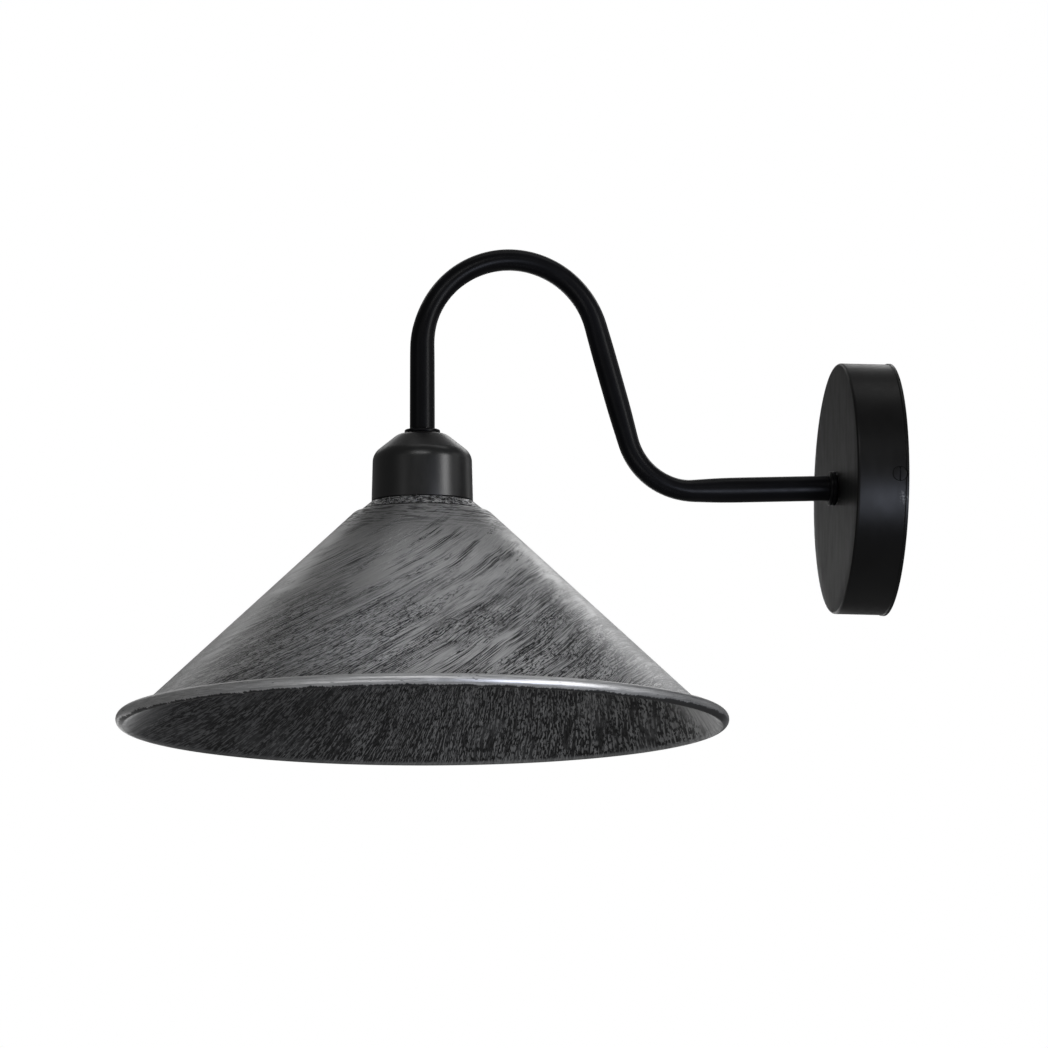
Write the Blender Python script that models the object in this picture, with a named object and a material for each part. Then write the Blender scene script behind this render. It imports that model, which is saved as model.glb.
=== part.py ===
"""Swan-neck wall light: wall rose and strap, bent tube arm, capped screw lampholder, and a spun cone shade.

Metres, +Z up. The origin is the middle of the wall face. The wall is the plane Y = 0, and the light stands
out from it towards -Y. "Out" below is the distance from the wall, which is -Y. The lampholder and the shade
share one upright axis, ARM_REACH out from the wall, and heights on it are plain Z.
"""
import math

import bmesh
import bpy
from mathutils import Matrix, Vector

MM = 0.001
GAP = 0.3 * MM  # left between pieces that touch

# Wall rose and what fixes it
ROSE_RADIUS = 60 * MM
ROSE_DEPTH = 25 * MM
ROSE_SHEET = 1.0 * MM
ROSE_EDGE = 1.4 * MM  # rounding of the front edge
LIP_HEIGHT = 0.4 * MM
LIP_WIDTH = 1.3 * MM
STRAP_THICKNESS = 1.5 * MM
STRAP_HEIGHT = 24 * MM
STRAP_HALF_LENGTH = 58.2 * MM
TAB_HEIGHT = 12 * MM
TAB_DEPTH = 9 * MM
WALL_SLOT_SPACING = 60 * MM
WALL_SLOT_LENGTH = 14 * MM
WALL_SLOT_WIDTH = 5 * MM
TONGUE_WIDTH = 26 * MM
TONGUE_BOTTOM = -38 * MM
SIDE_SCREW_OUT = 4.5 * MM
EARTH_SCREW_X = 18 * MM
EARTH_SCREW_Z = 4 * MM

# Terminal block
BLOCK_TOP = -17 * MM
BLOCK_BOTTOM = -33 * MM
BLOCK_WIDTH = 22 * MM
BLOCK_DEPTH = 12.5 * MM
POLE_X = 5.2 * MM
POLE_OUT = 7.8 * MM
INSERT_SIZE = 5.0 * MM
CLAMP_SCREW_HEIGHTS = (-21.5 * MM, -28.5 * MM)

# Arm
TUBE_RADIUS = 6 * MM
TUBE_WALL = 1.0 * MM
ARM_REACH = 226 * MM
CROWN_Z = 106.6 * MM
TOP_BEND = 43 * MM
LOWER_BEND = 32 * MM
SLANT = math.radians(16)  # of the rising part, from upright
DROOP = math.radians(2.5)  # of the part that leaves the rose
DROOP_BEND = 60 * MM
LEVEL_START = 5 * MM  # straight out of the rose, under the collar
BEND_FLATTENING = 1.05 * MM  # the tube loses this much of its half width in a bend
BEND_BULGE = 0.3 * MM
BEND_EASE = 14 * MM  # length beside a bend over which the tube turns round again
COLLAR_RADIUS = 8.25 * MM
COLLAR_LENGTH = 3.4 * MM
NIPPLE_RADIUS = 4.7 * MM
NIPPLE_BORE = 3.6 * MM
NUT_HALF_WIDTH = 7 * MM  # centre to flat
NUT_THICKNESS = 4 * MM
TAG_THICKNESS = 0.8 * MM
SHAKEPROOF_THICKNESS = 0.8 * MM

# Cap and lampholder: heights on the upright axis
ARM_END_Z = 24.0 * MM
CAP_TOP_Z = 21.8 * MM
CAP_BOTTOM_Z = -10.8 * MM
CAP_RADIUS = 24.3 * MM
CAP_WALL = 1.2 * MM
WASHER_RADIUS = 8.5 * MM
HOLDER_TOP_Z = 15.5 * MM
HOLDER_RIM_Z = -40.5 * MM
HOLDER_RADIUS = 19.6 * MM
CORE_TOP_Z = -7 * MM
CORE_BOTTOM_Z = -14.5 * MM
TOWER_TOP_Z = -2.5 * MM
TERMINAL_X = 6.4 * MM
STRIP_X = 9.5 * MM
STRIP_THICKNESS = 0.6 * MM
CONTACT_TRAVEL = 1.5 * MM
SHELL_TOP_Z = -17.5 * MM
SHELL_BOTTOM_Z = -37.5 * MM
SHELL_RADIUS = 13.9 * MM

# Shade
SHADE_SHEET = 0.8 * MM
SHADE_HOLE = 20.6 * MM
STEP_TOP_Z = CAP_BOTTOM_Z - GAP
STEP_FOOT_Z = -15.9 * MM
STEP_TOP_RADIUS = 24.2 * MM
STEP_FOOT_RADIUS = 29.5 * MM
CONE_TOP_RADIUS = 32 * MM
CONE_SPREAD = 1.08  # radius gained for each unit of height lost
RIM_RADIUS = 146.9 * MM
BEAD_RADIUS = 3.2 * MM

# Inside wires
WIRE_RADIUS = 1.1 * MM
WIRE_OFFSET = 1.5 * MM

FINISHES = {  # colour, metallic, roughness
    "black_enamel": ((0.012, 0.012, 0.014), 0.0, 0.35),
    "satin_black": ((0.025, 0.025, 0.027), 0.0, 0.45),
    "brushed_silver": ((0.22, 0.22, 0.22), 0.9, 0.35),
    "zinc": ((0.55, 0.56, 0.58), 1.0, 0.35),
    "brass": ((0.72, 0.53, 0.25), 1.0, 0.3),
    "bakelite": ((0.02, 0.018, 0.016), 0.0, 0.4),
    "ceramic": ((0.85, 0.84, 0.8), 0.0, 0.3),
    "nylon": ((0.8, 0.8, 0.76), 0.0, 0.5),
    "brown_pvc": ((0.16, 0.07, 0.03), 0.0, 0.5),
    "blue_pvc": ((0.05, 0.16, 0.45), 0.0, 0.5),
    "green_pvc": ((0.1, 0.38, 0.08), 0.0, 0.5),
}

# Turns a piece's own +Z to -Y, out from the wall, and leaves its X alone
OUT_FROM_WALL = Matrix.Rotation(math.pi / 2, 4, "X")
LAMP_AXIS = Matrix.Translation((0, -ARM_REACH, 0))


def clear_scene():
    for obj in list(bpy.data.objects):
        bpy.data.objects.remove(obj, do_unlink=True)


# ---------------------------------------------------------------- outlines


def fillet(before, corner, after, radius, steps):
    """The points of an arc of this radius that rounds a corner of an outline."""
    into = (Vector(before) - Vector(corner)).normalized()
    out_of = (Vector(after) - Vector(corner)).normalized()
    half = into.angle(out_of) / 2
    bisector = (into + out_of).normalized()
    centre = Vector(corner) + bisector * (radius / math.sin(half))
    start = Vector(corner) + into * (radius / math.tan(half)) - centre
    end = Vector(corner) + out_of * (radius / math.tan(half)) - centre
    turn = start.angle_signed(end)
    return [
        tuple(centre + Matrix.Rotation(-turn * i / steps, 2) @ start)
        for i in range(steps + 1)
    ]


def rounded(corners, steps=3):
    """A closed outline from (u, v) or (u, v, fillet radius) corners."""
    points = []
    for i, corner in enumerate(corners):
        if len(corner) == 2:
            points.append(corner)
            continue
        before = corners[i - 1][:2]
        after = corners[(i + 1) % len(corners)][:2]
        points.extend(fillet(before, corner[:2], after, corner[2], steps))
    return points


def circle(radius, segments):
    angles = [2 * math.pi * i / segments for i in range(segments)]
    return [(radius * math.cos(a), radius * math.sin(a)) for a in angles]


def stadium(length, width, centre, steps=5):
    """A slot's outline, with its round ends along the first direction."""
    reach = (length - width) / 2
    points = []
    for side, start in ((1, -math.pi / 2), (-1, math.pi / 2)):
        for i in range(steps + 1):
            angle = start + math.pi * i / steps
            points.append((
                centre[0] + side * reach + width / 2 * math.cos(angle),
                centre[1] + width / 2 * math.sin(angle),
            ))
    return points


# ---------------------------------------------------------------- meshes


def finished(mesh_builder, name, place):
    """A Blender mesh from a bmesh: placed, facing out, smooth but for its hard edges."""
    bmesh.ops.remove_doubles(mesh_builder, verts=mesh_builder.verts, dist=1e-7)
    bmesh.ops.recalc_face_normals(mesh_builder, faces=mesh_builder.faces)
    mesh_builder.transform(place)
    mesh = bpy.data.meshes.new(name)
    mesh_builder.to_mesh(mesh)
    mesh_builder.free()
    mesh.shade_smooth()
    mesh.set_sharp_from_angle(angle=math.radians(35))
    return mesh


def turned(name, outline, segments, place, solid=False):
    """Spins an (r, z) outline about Z. A solid piece's outline starts and ends on the axis, not closed."""
    builder = bmesh.new()
    verts = [builder.verts.new((r, 0, z)) for r, z in outline]
    ends = verts[1:] if solid else verts[1:] + verts[:1]
    edges = [builder.edges.new(pair) for pair in zip(verts, ends)]
    bmesh.ops.spin(
        builder, geom=verts + edges, cent=(0, 0, 0), axis=(0, 0, 1),
        angle=2 * math.pi, steps=segments, use_merge=True,
    )
    return finished(builder, name, place)


def extruded(name, outline, low, high, place):
    """A flat (x, y) outline given thickness from z = low to z = high."""
    builder = bmesh.new()
    face = builder.faces.new([builder.verts.new((x, y, low)) for x, y in outline])
    grown = bmesh.ops.extrude_face_region(builder, geom=[face])
    top = [item for item in grown["geom"] if isinstance(item, bmesh.types.BMVert)]
    bmesh.ops.translate(builder, verts=top, vec=(0, 0, high - low))
    return finished(builder, name, place)


def box_mesh(name, low, high, place=Matrix()):
    outline = [(low[0], low[1]), (high[0], low[1]), (high[0], high[1]), (low[0], high[1])]
    return extruded(name, outline, low[2], high[2], place)


def rod_mesh(name, radius, start, end, segments=16):
    """A plain cylinder from one point to another."""
    start, end = Vector(start), Vector(end)
    along = end - start
    place = Matrix.Translation(start) @ along.to_track_quat("Z", "Y").to_matrix().to_4x4()
    return extruded(name, circle(radius, segments), 0, along.length, place)


def loft(name, rings, place=Matrix()):
    """Joins equal rings of points into a closed loop of surface: the last ring joins the first."""
    builder = bmesh.new()
    rows = [[builder.verts.new(point) for point in ring] for ring in rings]
    for row, following in zip(rows, rows[1:] + rows[:1]):
        for i in range(len(row)):
            j = (i + 1) % len(row)
            builder.faces.new((row[i], row[j], following[j], following[i]))
    return finished(builder, name, place)


# ---------------------------------------------------------------- objects


def finish_material(name, finish):
    colour, metallic, roughness = FINISHES[finish]
    material = bpy.data.materials.new(f"{name} {finish}")
    material.use_nodes = True
    shader = material.node_tree.nodes["Principled BSDF"]
    shader.inputs["Base Color"].default_value = (*colour, 1)
    shader.inputs["Metallic"].default_value = metallic
    shader.inputs["Roughness"].default_value = roughness
    material.diffuse_color = (*colour, 1)
    return material


def add_piece(name, mesh, finish):
    obj = bpy.data.objects.new(name, mesh)
    mesh.materials.clear()
    mesh.materials.append(finish_material(name, finish))
    bpy.context.scene.collection.objects.link(obj)
    return obj


def add_helper(mesh):
    """A Boolean's other mesh, which is no piece of the light."""
    obj = bpy.data.objects.new(mesh.name, mesh)
    obj.hide_render = True
    obj.display_type = "WIRE"
    bpy.context.scene.collection.objects.link(obj)
    return obj


def boolean(obj, operation, meshes):
    for mesh in meshes:
        modifier = obj.modifiers.new(mesh.name, "BOOLEAN")
        modifier.operation = operation
        modifier.solver = "EXACT"
        modifier.object = add_helper(mesh)


def cut(obj, *meshes):
    boolean(obj, "DIFFERENCE", meshes)


def fuse(obj, *meshes):
    boolean(obj, "UNION", meshes)


# ---------------------------------------------------------------- standard fasteners


def slotted_screw(name, place, head_radius, head_height, shank_radius, shank_length, finish):
    """A cheese-head screw. Its own +Z points out of the head, and z = 0 is under the head."""
    edge = head_height * 0.3
    outline = rounded([
        (0, head_height),
        (head_radius, head_height, edge),
        (head_radius, 0),
        (shank_radius, 0),
        (shank_radius, -shank_length),
        (0, -shank_length),
    ], steps=1)
    screw = add_piece(name, turned(name, outline, 12, place, solid=True), finish)
    reach = head_radius * 1.5
    slot = 0.14 * head_radius
    low = (-reach, -slot, head_height * 0.5)
    high = (reach, slot, head_height * 1.5)
    cut(screw, box_mesh(f"{name}_slot", low, high, place))


def hexagon_nut(name, place):
    """A nut for the hollow nipples, from z = 0 up."""
    corner = NUT_HALF_WIDTH / math.cos(math.pi / 6)
    nut = add_piece(name, extruded(name, circle(corner, 6), 0, NUT_THICKNESS, place), "zinc")
    bore = circle(NIPPLE_RADIUS + GAP, 18)
    cut(nut, extruded(f"{name}_bore", bore, -NUT_THICKNESS, 2 * NUT_THICKNESS, place))
    chamfer = nut.modifiers.new("chamfer", "BEVEL")
    chamfer.width = 0.35 * MM
    chamfer.segments = 1
    chamfer.limit_method = "ANGLE"
    chamfer.angle_limit = math.radians(50)


def hollow_nipple(name, place, length, thread_from, thread_to):
    """A threaded tube along its own Z. Between the two heights its thread shows as fine ridges."""
    ridge = 0.35 * MM
    pitch = 2 * MM
    outer = [(NIPPLE_RADIUS, 0)]
    for i in range(round((thread_to - thread_from) / pitch)):
        z = thread_from + i * pitch
        outer += [(NIPPLE_RADIUS, z), (NIPPLE_RADIUS - ridge, z + pitch / 2)]
    outer += [(NIPPLE_RADIUS, length)]
    outline = outer + [(NIPPLE_BORE, length), (NIPPLE_BORE, 0)]
    add_piece(name, turned(name, outline, 16, place), "zinc")


# ---------------------------------------------------------------- the arm's line


class ArmLine:
    """The arm's middle line in the plane X = 0, as heights over the distance out from the wall."""

    def __init__(self, start_out):
        self.out = start_out
        self.height = 0.0
        self.heading = 0.0
        self.stations = [(self.out, self.height, self.heading, 0.0)]

    def straight(self, length, flattening=0.0):
        self.out += length * math.cos(self.heading)
        self.height += length * math.sin(self.heading)
        self.stations.append((self.out, self.height, self.heading, flattening))

    def bend(self, radius, turn, steps, flattening=0.0):
        side = math.copysign(radius, turn)
        centre_out = self.out - side * math.sin(self.heading)
        centre_height = self.height + side * math.cos(self.heading)
        for _ in range(steps):
            self.heading += turn / steps
            self.out = centre_out + side * math.sin(self.heading)
            self.height = centre_height - side * math.cos(self.heading)
            self.stations.append((self.out, self.height, self.heading, flattening))


def arm_stations():
    """(out, height, heading, flattening) from the rose to the lampholder.

    The two straight lengths follow from the reach, the crown's height and the bends."""
    start = ROSE_DEPTH + GAP
    rise = math.pi / 2 - SLANT
    run_start_out = start + LEVEL_START + DROOP_BEND * math.sin(DROOP)
    run_start_height = -DROOP_BEND * (1 - math.cos(DROOP))
    slant_end_out = ARM_REACH - TOP_BEND * (1 + math.sin(rise))
    slant_end_height = CROWN_Z - TOP_BEND * (1 - math.cos(rise))
    bend_out = LOWER_BEND * (math.sin(rise) + math.sin(DROOP))
    bend_height = LOWER_BEND * (math.cos(DROOP) - math.cos(rise))
    lengths = Matrix((
        (math.cos(DROOP), math.cos(rise)),
        (-math.sin(DROOP), math.sin(rise)),
    )).inverted() @ Vector((
        slant_end_out - run_start_out - bend_out,
        slant_end_height - run_start_height - bend_height,
    ))
    run, slant = lengths
    line = ArmLine(start)
    line.straight(LEVEL_START)
    line.bend(DROOP_BEND, -DROOP, 1)
    line.straight(run - BEND_EASE)
    line.straight(BEND_EASE, 0.6)
    line.bend(LOWER_BEND, rise + DROOP, 9, 1.0)
    line.straight(BEND_EASE, 0.45)
    line.straight(slant - 2 * BEND_EASE, 0.4)
    line.straight(BEND_EASE, 0.6)
    quarter_step = -math.pi / 16
    line.bend(TOP_BEND, -rise, 7, 0.85)
    line.bend(TOP_BEND, 6 * quarter_step, 6, 0.85)
    line.bend(TOP_BEND, quarter_step, 1, 0.45)
    line.bend(TOP_BEND, quarter_step, 1, 0.1)
    line.straight(line.height - ARM_END_Z)
    return line.stations


def on_arm(station, sideways=0.0, upward=0.0):
    """A point beside the arm's line: sideways is X, and upward is the left of its heading."""
    out, height, heading, _ = station
    return Vector((
        sideways,
        -(out - upward * math.sin(heading)),
        height + upward * math.cos(heading),
    ))


# ---------------------------------------------------------------- rose end


def rose():
    outline = rounded([
        (NIPPLE_RADIUS + GAP, ROSE_DEPTH),
        (ROSE_RADIUS, ROSE_DEPTH, ROSE_EDGE),
        (ROSE_RADIUS, LIP_WIDTH + LIP_HEIGHT),
        (ROSE_RADIUS + LIP_HEIGHT, LIP_WIDTH),
        (ROSE_RADIUS + LIP_HEIGHT, 0),
        (ROSE_RADIUS - ROSE_SHEET, 0),
        (ROSE_RADIUS - ROSE_SHEET, ROSE_DEPTH - ROSE_SHEET, 0.6 * MM),
        (NIPPLE_RADIUS + GAP, ROSE_DEPTH - ROSE_SHEET),
    ])
    cup = add_piece("wall_rose", turned("wall_rose", outline, 52, OUT_FROM_WALL), "black_enamel")
    for side in (-1, 1):
        cut(cup, countersink(f"rose_hole_{side}", side, GAP))


def countersink(name, side, margin):
    """The head of a side screw grown by a margin, and the hole through the sheet under it."""
    outline = [
        (0, 2 * MM),
        (4.0 * MM + margin, 2 * MM),
        (3.4 * MM + margin, 0),
        (2.0 * MM + margin, -1.4 * MM),
        (2.0 * MM + margin, -3 * MM),
        (0, -3 * MM),
    ]
    return turned(name, outline, 20, side_screw_place(side), solid=True)


def side_screw_place(side):
    """On the rose's side, with z = 0 at its surface and +Z away from it."""
    turn = Matrix.Rotation(side * math.pi / 2, 4, "Y")
    return Matrix.Translation((side * ROSE_RADIUS, -SIDE_SCREW_OUT, 0)) @ turn


def side_screw(name, side):
    outline = [
        (0, -0.1 * MM),
        (3.2 * MM, -0.1 * MM),
        (3.4 * MM, -0.3 * MM),
        (1.8 * MM, -1.7 * MM),
        (1.8 * MM, -6.5 * MM),
        (1.3 * MM, -7 * MM),
        (0, -7 * MM),
    ]
    place = side_screw_place(side)
    screw = add_piece(name, turned(name, outline, 20, place, solid=True), "black_enamel")
    slot_low = (-4 * MM, -0.4 * MM, -0.8 * MM)
    slot_high = (4 * MM, 0.4 * MM, 1 * MM)
    cut(screw, box_mesh(f"{name}_slot", slot_low, slot_high, place))


def bent_forward(point, bend_start, bend_radius):
    """Where a point of the flat strap lies once its ends are bent forward. Its thickness lies along -Y."""
    past = abs(point.x) - bend_start
    if past <= 0:
        return point
    side = math.copysign(1, point.x)
    arc = (bend_radius - STRAP_THICKNESS / 2) * math.pi / 2
    angle = min(past / arc, 1) * math.pi / 2
    from_centre = bend_radius + point.y
    x = bend_start + from_centre * math.sin(angle)
    out = bend_radius - from_centre * math.cos(angle) + max(past - arc, 0)
    return Vector((side * x, -out, point.z))


def strap_mesh(place):
    """A flat bar against the wall with a tongue for the terminal block, and an end bent out at each side."""
    bend_radius = 2.4 * MM
    bend_start = STRAP_HALF_LENGTH - bend_radius
    arc = (bend_radius - STRAP_THICKNESS / 2) * math.pi / 2
    flat_end = bend_start + arc + TAB_DEPTH - bend_radius
    bar_end = bend_start - 6 * MM
    tall = STRAP_HEIGHT / 2
    tab = TAB_HEIGHT / 2
    tongue = TONGUE_WIDTH / 2
    right = [
        (tongue, TONGUE_BOTTOM, 3 * MM),
        (tongue, -tall),
        (bar_end, -tall, 2 * MM),
        (bar_end + 4 * MM, -tab),
        (flat_end, -tab, 1.5 * MM),
        (flat_end, tab, 1.5 * MM),
        (bar_end + 4 * MM, tab),
        (bar_end, tall, 2 * MM),
    ]
    left = [(-corner[0], *corner[1:]) for corner in reversed(right)]
    mesh = extruded("mounting_strap", rounded(right + left), 0, STRAP_THICKNESS, place)
    builder = bmesh.new()
    builder.from_mesh(mesh)
    for side in (-1, 1):
        for i in range(5):
            x = side * (bend_start + arc * i / 4)
            whole = [*builder.verts, *builder.edges, *builder.faces]
            bmesh.ops.bisect_plane(
                builder, geom=whole, plane_co=(x, 0, 0), plane_no=(1, 0, 0), dist=1e-7,
            )
    for vert in builder.verts:
        vert.co = bent_forward(vert.co, bend_start, bend_radius)
    return finished(builder, "mounting_strap", Matrix())


def strap():
    # Turns a flat outline's second direction up to +Z, with its thickness out from the wall
    seen_from_front = Matrix(((1, 0, 0, 0), (0, 0, -1, 0), (0, 1, 0, 0), (0, 0, 0, 1)))
    bar = add_piece("mounting_strap", strap_mesh(seen_from_front), "zinc")
    for side in (-1, 1):
        slot = stadium(WALL_SLOT_LENGTH, WALL_SLOT_WIDTH, (side * WALL_SLOT_SPACING / 2, 0))
        cut(bar, extruded(f"wall_slot_{side}", slot, -MM, 3 * MM, seen_from_front))
        near = side * (STRAP_HALF_LENGTH - 4 * MM)
        far = side * (STRAP_HALF_LENGTH + 2 * MM)
        tab_hole = ((near, -SIDE_SCREW_OUT, 0), (far, -SIDE_SCREW_OUT, 0))
        cut(bar, rod_mesh(f"tab_hole_{side}", 2.1 * MM, *tab_hole))
    block_z = (BLOCK_TOP + BLOCK_BOTTOM) / 2
    for name, radius, x, z in (
        ("block_hole", 1.7 * MM, 0, block_z),
        ("earth_hole", 2.1 * MM, EARTH_SCREW_X, EARTH_SCREW_Z),
    ):
        cut(bar, rod_mesh(name, radius, (x, MM, z), (x, -3 * MM, z)))


def collar():
    """A ring round the arm's end on the rose, with rounded edges and a shallow groove."""
    bore = TUBE_RADIUS + GAP
    middle = COLLAR_LENGTH / 2
    outline = rounded([
        (bore, 0),
        (COLLAR_RADIUS, 0, 0.5 * MM),
        (COLLAR_RADIUS, middle - 0.25 * MM),
        (COLLAR_RADIUS - 0.35 * MM, middle),
        (COLLAR_RADIUS, middle + 0.25 * MM),
        (COLLAR_RADIUS, COLLAR_LENGTH, 0.9 * MM),
        (bore, COLLAR_LENGTH),
    ], steps=2)
    place = Matrix.Translation((0, -ROSE_DEPTH - GAP, 0)) @ OUT_FROM_WALL
    add_piece("arm_collar", turned("arm_collar", outline, 26, place), "black_enamel")


def ring_tag(name, place, ring_inner, ring_outer, tail, barrel_lift):
    """A ring terminal in its own XY plane, its tail along +X ending in a crimped barrel for a wire."""
    half_tail = 1.4 * MM
    start = math.asin(half_tail / ring_outer)
    sweep = 2 * math.pi - 2 * start
    ring = [
        (ring_outer * math.cos(start + sweep * i / 16), ring_outer * math.sin(start + sweep * i / 16))
        for i in range(17)
    ]
    outline = ring + [(tail, -half_tail), (tail, half_tail)]
    tag = add_piece(name, extruded(name, outline, 0, TAG_THICKNESS, place), "zinc")
    along_tail = place @ Matrix.Translation((0, 0, barrel_lift)) @ Matrix.Rotation(math.pi / 2, 4, "Y")
    barrel_end = tail + 4 * MM
    fuse(tag, extruded(f"{name}_barrel", circle(1.9 * MM, 12), tail - 1.5 * MM, barrel_end, along_tail))
    socket = circle(WIRE_RADIUS + GAP, 12)
    cut(
        tag,
        extruded(f"{name}_socket", socket, barrel_end - 3.5 * MM, barrel_end + MM, along_tail),
        extruded(f"{name}_bore", circle(ring_inner, 16), -MM, 3 * MM, place),
    )


def toothed_washer(place):
    """A flat locking washer with teeth round its outside."""
    teeth = 12
    outline = []
    for i in range(teeth):
        angle = 2 * math.pi * i / teeth
        for radius, lead in ((7.2, 0.0), (8.6, 0.12), (8.6, 0.3), (7.2, 0.42)):
            outline.append((radius * MM * math.cos(angle + lead), radius * MM * math.sin(angle + lead)))
    plate = extruded("toothed_washer", outline, 0, SHAKEPROOF_THICKNESS, place)
    washer = add_piece("toothed_washer", plate, "zinc")
    cut(washer, extruded("washer_bore", circle(NIPPLE_RADIUS + GAP, 18), -MM, 2 * MM, place))


def rose_fasteners():
    """The nipple that holds the arm to the rose, and what is threaded on it, from the front sheet back."""
    nipple_back = 15.5 * MM
    nipple_front = 37 * MM
    place = Matrix.Translation((0, -nipple_back, 0)) @ OUT_FROM_WALL
    hollow_nipple("rose_nipple", place, nipple_front - nipple_back, 0.8 * MM, 6.8 * MM)
    inside = ROSE_DEPTH - ROSE_SHEET - GAP
    tag_back = inside - TAG_THICKNESS
    washer_back = tag_back - GAP - SHAKEPROOF_THICKNESS
    nut_back = washer_back - GAP - NUT_THICKNESS
    tag_place = Matrix.Translation((0, -tag_back, 0)) @ OUT_FROM_WALL
    ring_tag("arm_earth_tag", tag_place, NIPPLE_RADIUS + GAP, 8.4 * MM, 11 * MM, -1.2 * MM)
    toothed_washer(Matrix.Translation((0, -washer_back, 0)) @ OUT_FROM_WALL)
    hexagon_nut("rose_nut", Matrix.Translation((0, -nut_back, 0)) @ OUT_FROM_WALL)


def earth_point():
    """The strap's earth screw with the earth wire's ring tag under its head."""
    tag_out = STRAP_THICKNESS + GAP
    at = Matrix.Translation((EARTH_SCREW_X, -tag_out, EARTH_SCREW_Z)) @ OUT_FROM_WALL
    ring_tag("strap_earth_tag", at, 2.3 * MM, 4.4 * MM, 8 * MM, 1.8 * MM)
    head_out = tag_out + TAG_THICKNESS + GAP
    screw_at = Matrix.Translation((EARTH_SCREW_X, -head_out, EARTH_SCREW_Z)) @ OUT_FROM_WALL
    slotted_screw("earth_screw", screw_at, 3.6 * MM, 2.4 * MM, 1.8 * MM, head_out - GAP, "brass")


def terminal_block():
    """Two brass inserts in a moulded body, with two clamping screws each, on the strap's tongue."""
    back = STRAP_THICKNESS + GAP
    front = back + BLOCK_DEPTH
    middle_z = (BLOCK_TOP + BLOCK_BOTTOM) / 2
    half = BLOCK_WIDTH / 2
    section = rounded([
        (-half, -front, 1.5 * MM),
        (half, -front, 1.5 * MM),
        (half, -back),
        (-half, -back),
    ], steps=2)
    moulding = extruded("terminal_block", section, BLOCK_BOTTOM, BLOCK_TOP, Matrix())
    body = add_piece("terminal_block", moulding, "nylon")
    cut(body, rod_mesh("block_fixing_hole", 1.7 * MM, (0, MM, middle_z), (0, -front - MM, middle_z)))
    for side, line in ((-1, "live"), (1, "neutral")):
        x = side * POLE_X
        channel = INSERT_SIZE / 2 + GAP
        low = (x - channel, -POLE_OUT - channel, BLOCK_BOTTOM - MM)
        high = (x + channel, -POLE_OUT + channel, BLOCK_TOP + MM)
        cut(body, box_mesh(f"{line}_channel", low, high))
        insert_low = (x - INSERT_SIZE / 2, -POLE_OUT - INSERT_SIZE / 2, BLOCK_BOTTOM + MM)
        insert_high = (x + INSERT_SIZE / 2, -POLE_OUT + INSERT_SIZE / 2, BLOCK_TOP - MM)
        insert = add_piece(f"{line}_insert", box_mesh(f"{line}_insert", insert_low, insert_high), "brass")
        bore = ((x, -POLE_OUT, BLOCK_BOTTOM - MM), (x, -POLE_OUT, BLOCK_TOP + MM))
        cut(insert, rod_mesh(f"{line}_bore", 1.6 * MM, *bore, segments=14))
        for number, z in enumerate(CLAMP_SCREW_HEIGHTS, start=1):
            well = ((x, -POLE_OUT, z), (x, -front - MM, z))
            cut(body, rod_mesh(f"{line}_well_{number}", 2.2 * MM, *well))
            cut(insert, rod_mesh(f"{line}_thread_{number}", 1.4 * MM, *well, segments=14))
            head_out = POLE_OUT + INSERT_SIZE / 2 + GAP
            at = Matrix.Translation((x, -head_out, z)) @ OUT_FROM_WALL
            name = f"{line}_clamp_screw_{number}"
            slotted_screw(name, at, 1.8 * MM, 1.6 * MM, 1.1 * MM, 1.3 * MM, "zinc")
    at = Matrix.Translation((0, -front - GAP, middle_z)) @ OUT_FROM_WALL
    slotted_screw("block_fixing_screw", at, 2.7 * MM, 1.8 * MM, 1.4 * MM, front, "zinc")


# ---------------------------------------------------------------- arm


def arm():
    """The bent tube, a little flatter and wider in its bends, open at both ends."""
    sides = 16
    outer, inner = [], []
    for station in arm_stations():
        flattening = station[3]
        tall = TUBE_RADIUS - BEND_FLATTENING * flattening
        wide = TUBE_RADIUS + BEND_BULGE * flattening
        for rings, wall in ((outer, 0.0), (inner, TUBE_WALL)):
            rings.append([
                on_arm(station, (wide - wall) * math.cos(angle), (tall - wall) * math.sin(angle))
                for angle in (2 * math.pi * i / sides for i in range(sides))
            ])
    add_piece("swan_neck_arm", loft("swan_neck_arm", outer + inner[::-1]), "black_enamel")


# ---------------------------------------------------------------- cap


def cap_washer():
    bottom = CAP_TOP_Z + GAP
    top = ARM_END_Z - GAP
    outline = rounded([
        (NIPPLE_RADIUS + GAP, bottom),
        (WASHER_RADIUS, bottom, 0.3 * MM),
        (WASHER_RADIUS, top, 0.8 * MM),
        (NIPPLE_RADIUS + GAP, top),
    ], steps=2)
    add_piece("cap_washer", turned("cap_washer", outline, 24, LAMP_AXIS), "satin_black")


def cap():
    """The cup over the lampholder: flat top, sloping shoulder, and a side that spreads slightly."""
    wall = CAP_WALL
    shoulder = 8 * MM
    outline = rounded([
        (NIPPLE_RADIUS + GAP, CAP_TOP_Z),
        (11.1 * MM, CAP_TOP_Z, shoulder),
        (CAP_RADIUS - 0.6 * MM, 11.8 * MM, shoulder),
        (CAP_RADIUS, CAP_BOTTOM_Z),
        (CAP_RADIUS - wall, CAP_BOTTOM_Z),
        (CAP_RADIUS - 0.6 * MM - wall, 8.5 * MM),
        (CAP_RADIUS - 3 * MM - wall, 12.6 * MM),
        (9 * MM, CAP_TOP_Z - wall),
        (NIPPLE_RADIUS + GAP, CAP_TOP_Z - wall),
    ])
    add_piece("lampholder_cap", turned("lampholder_cap", outline, 40, LAMP_AXIS), "satin_black")


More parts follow.
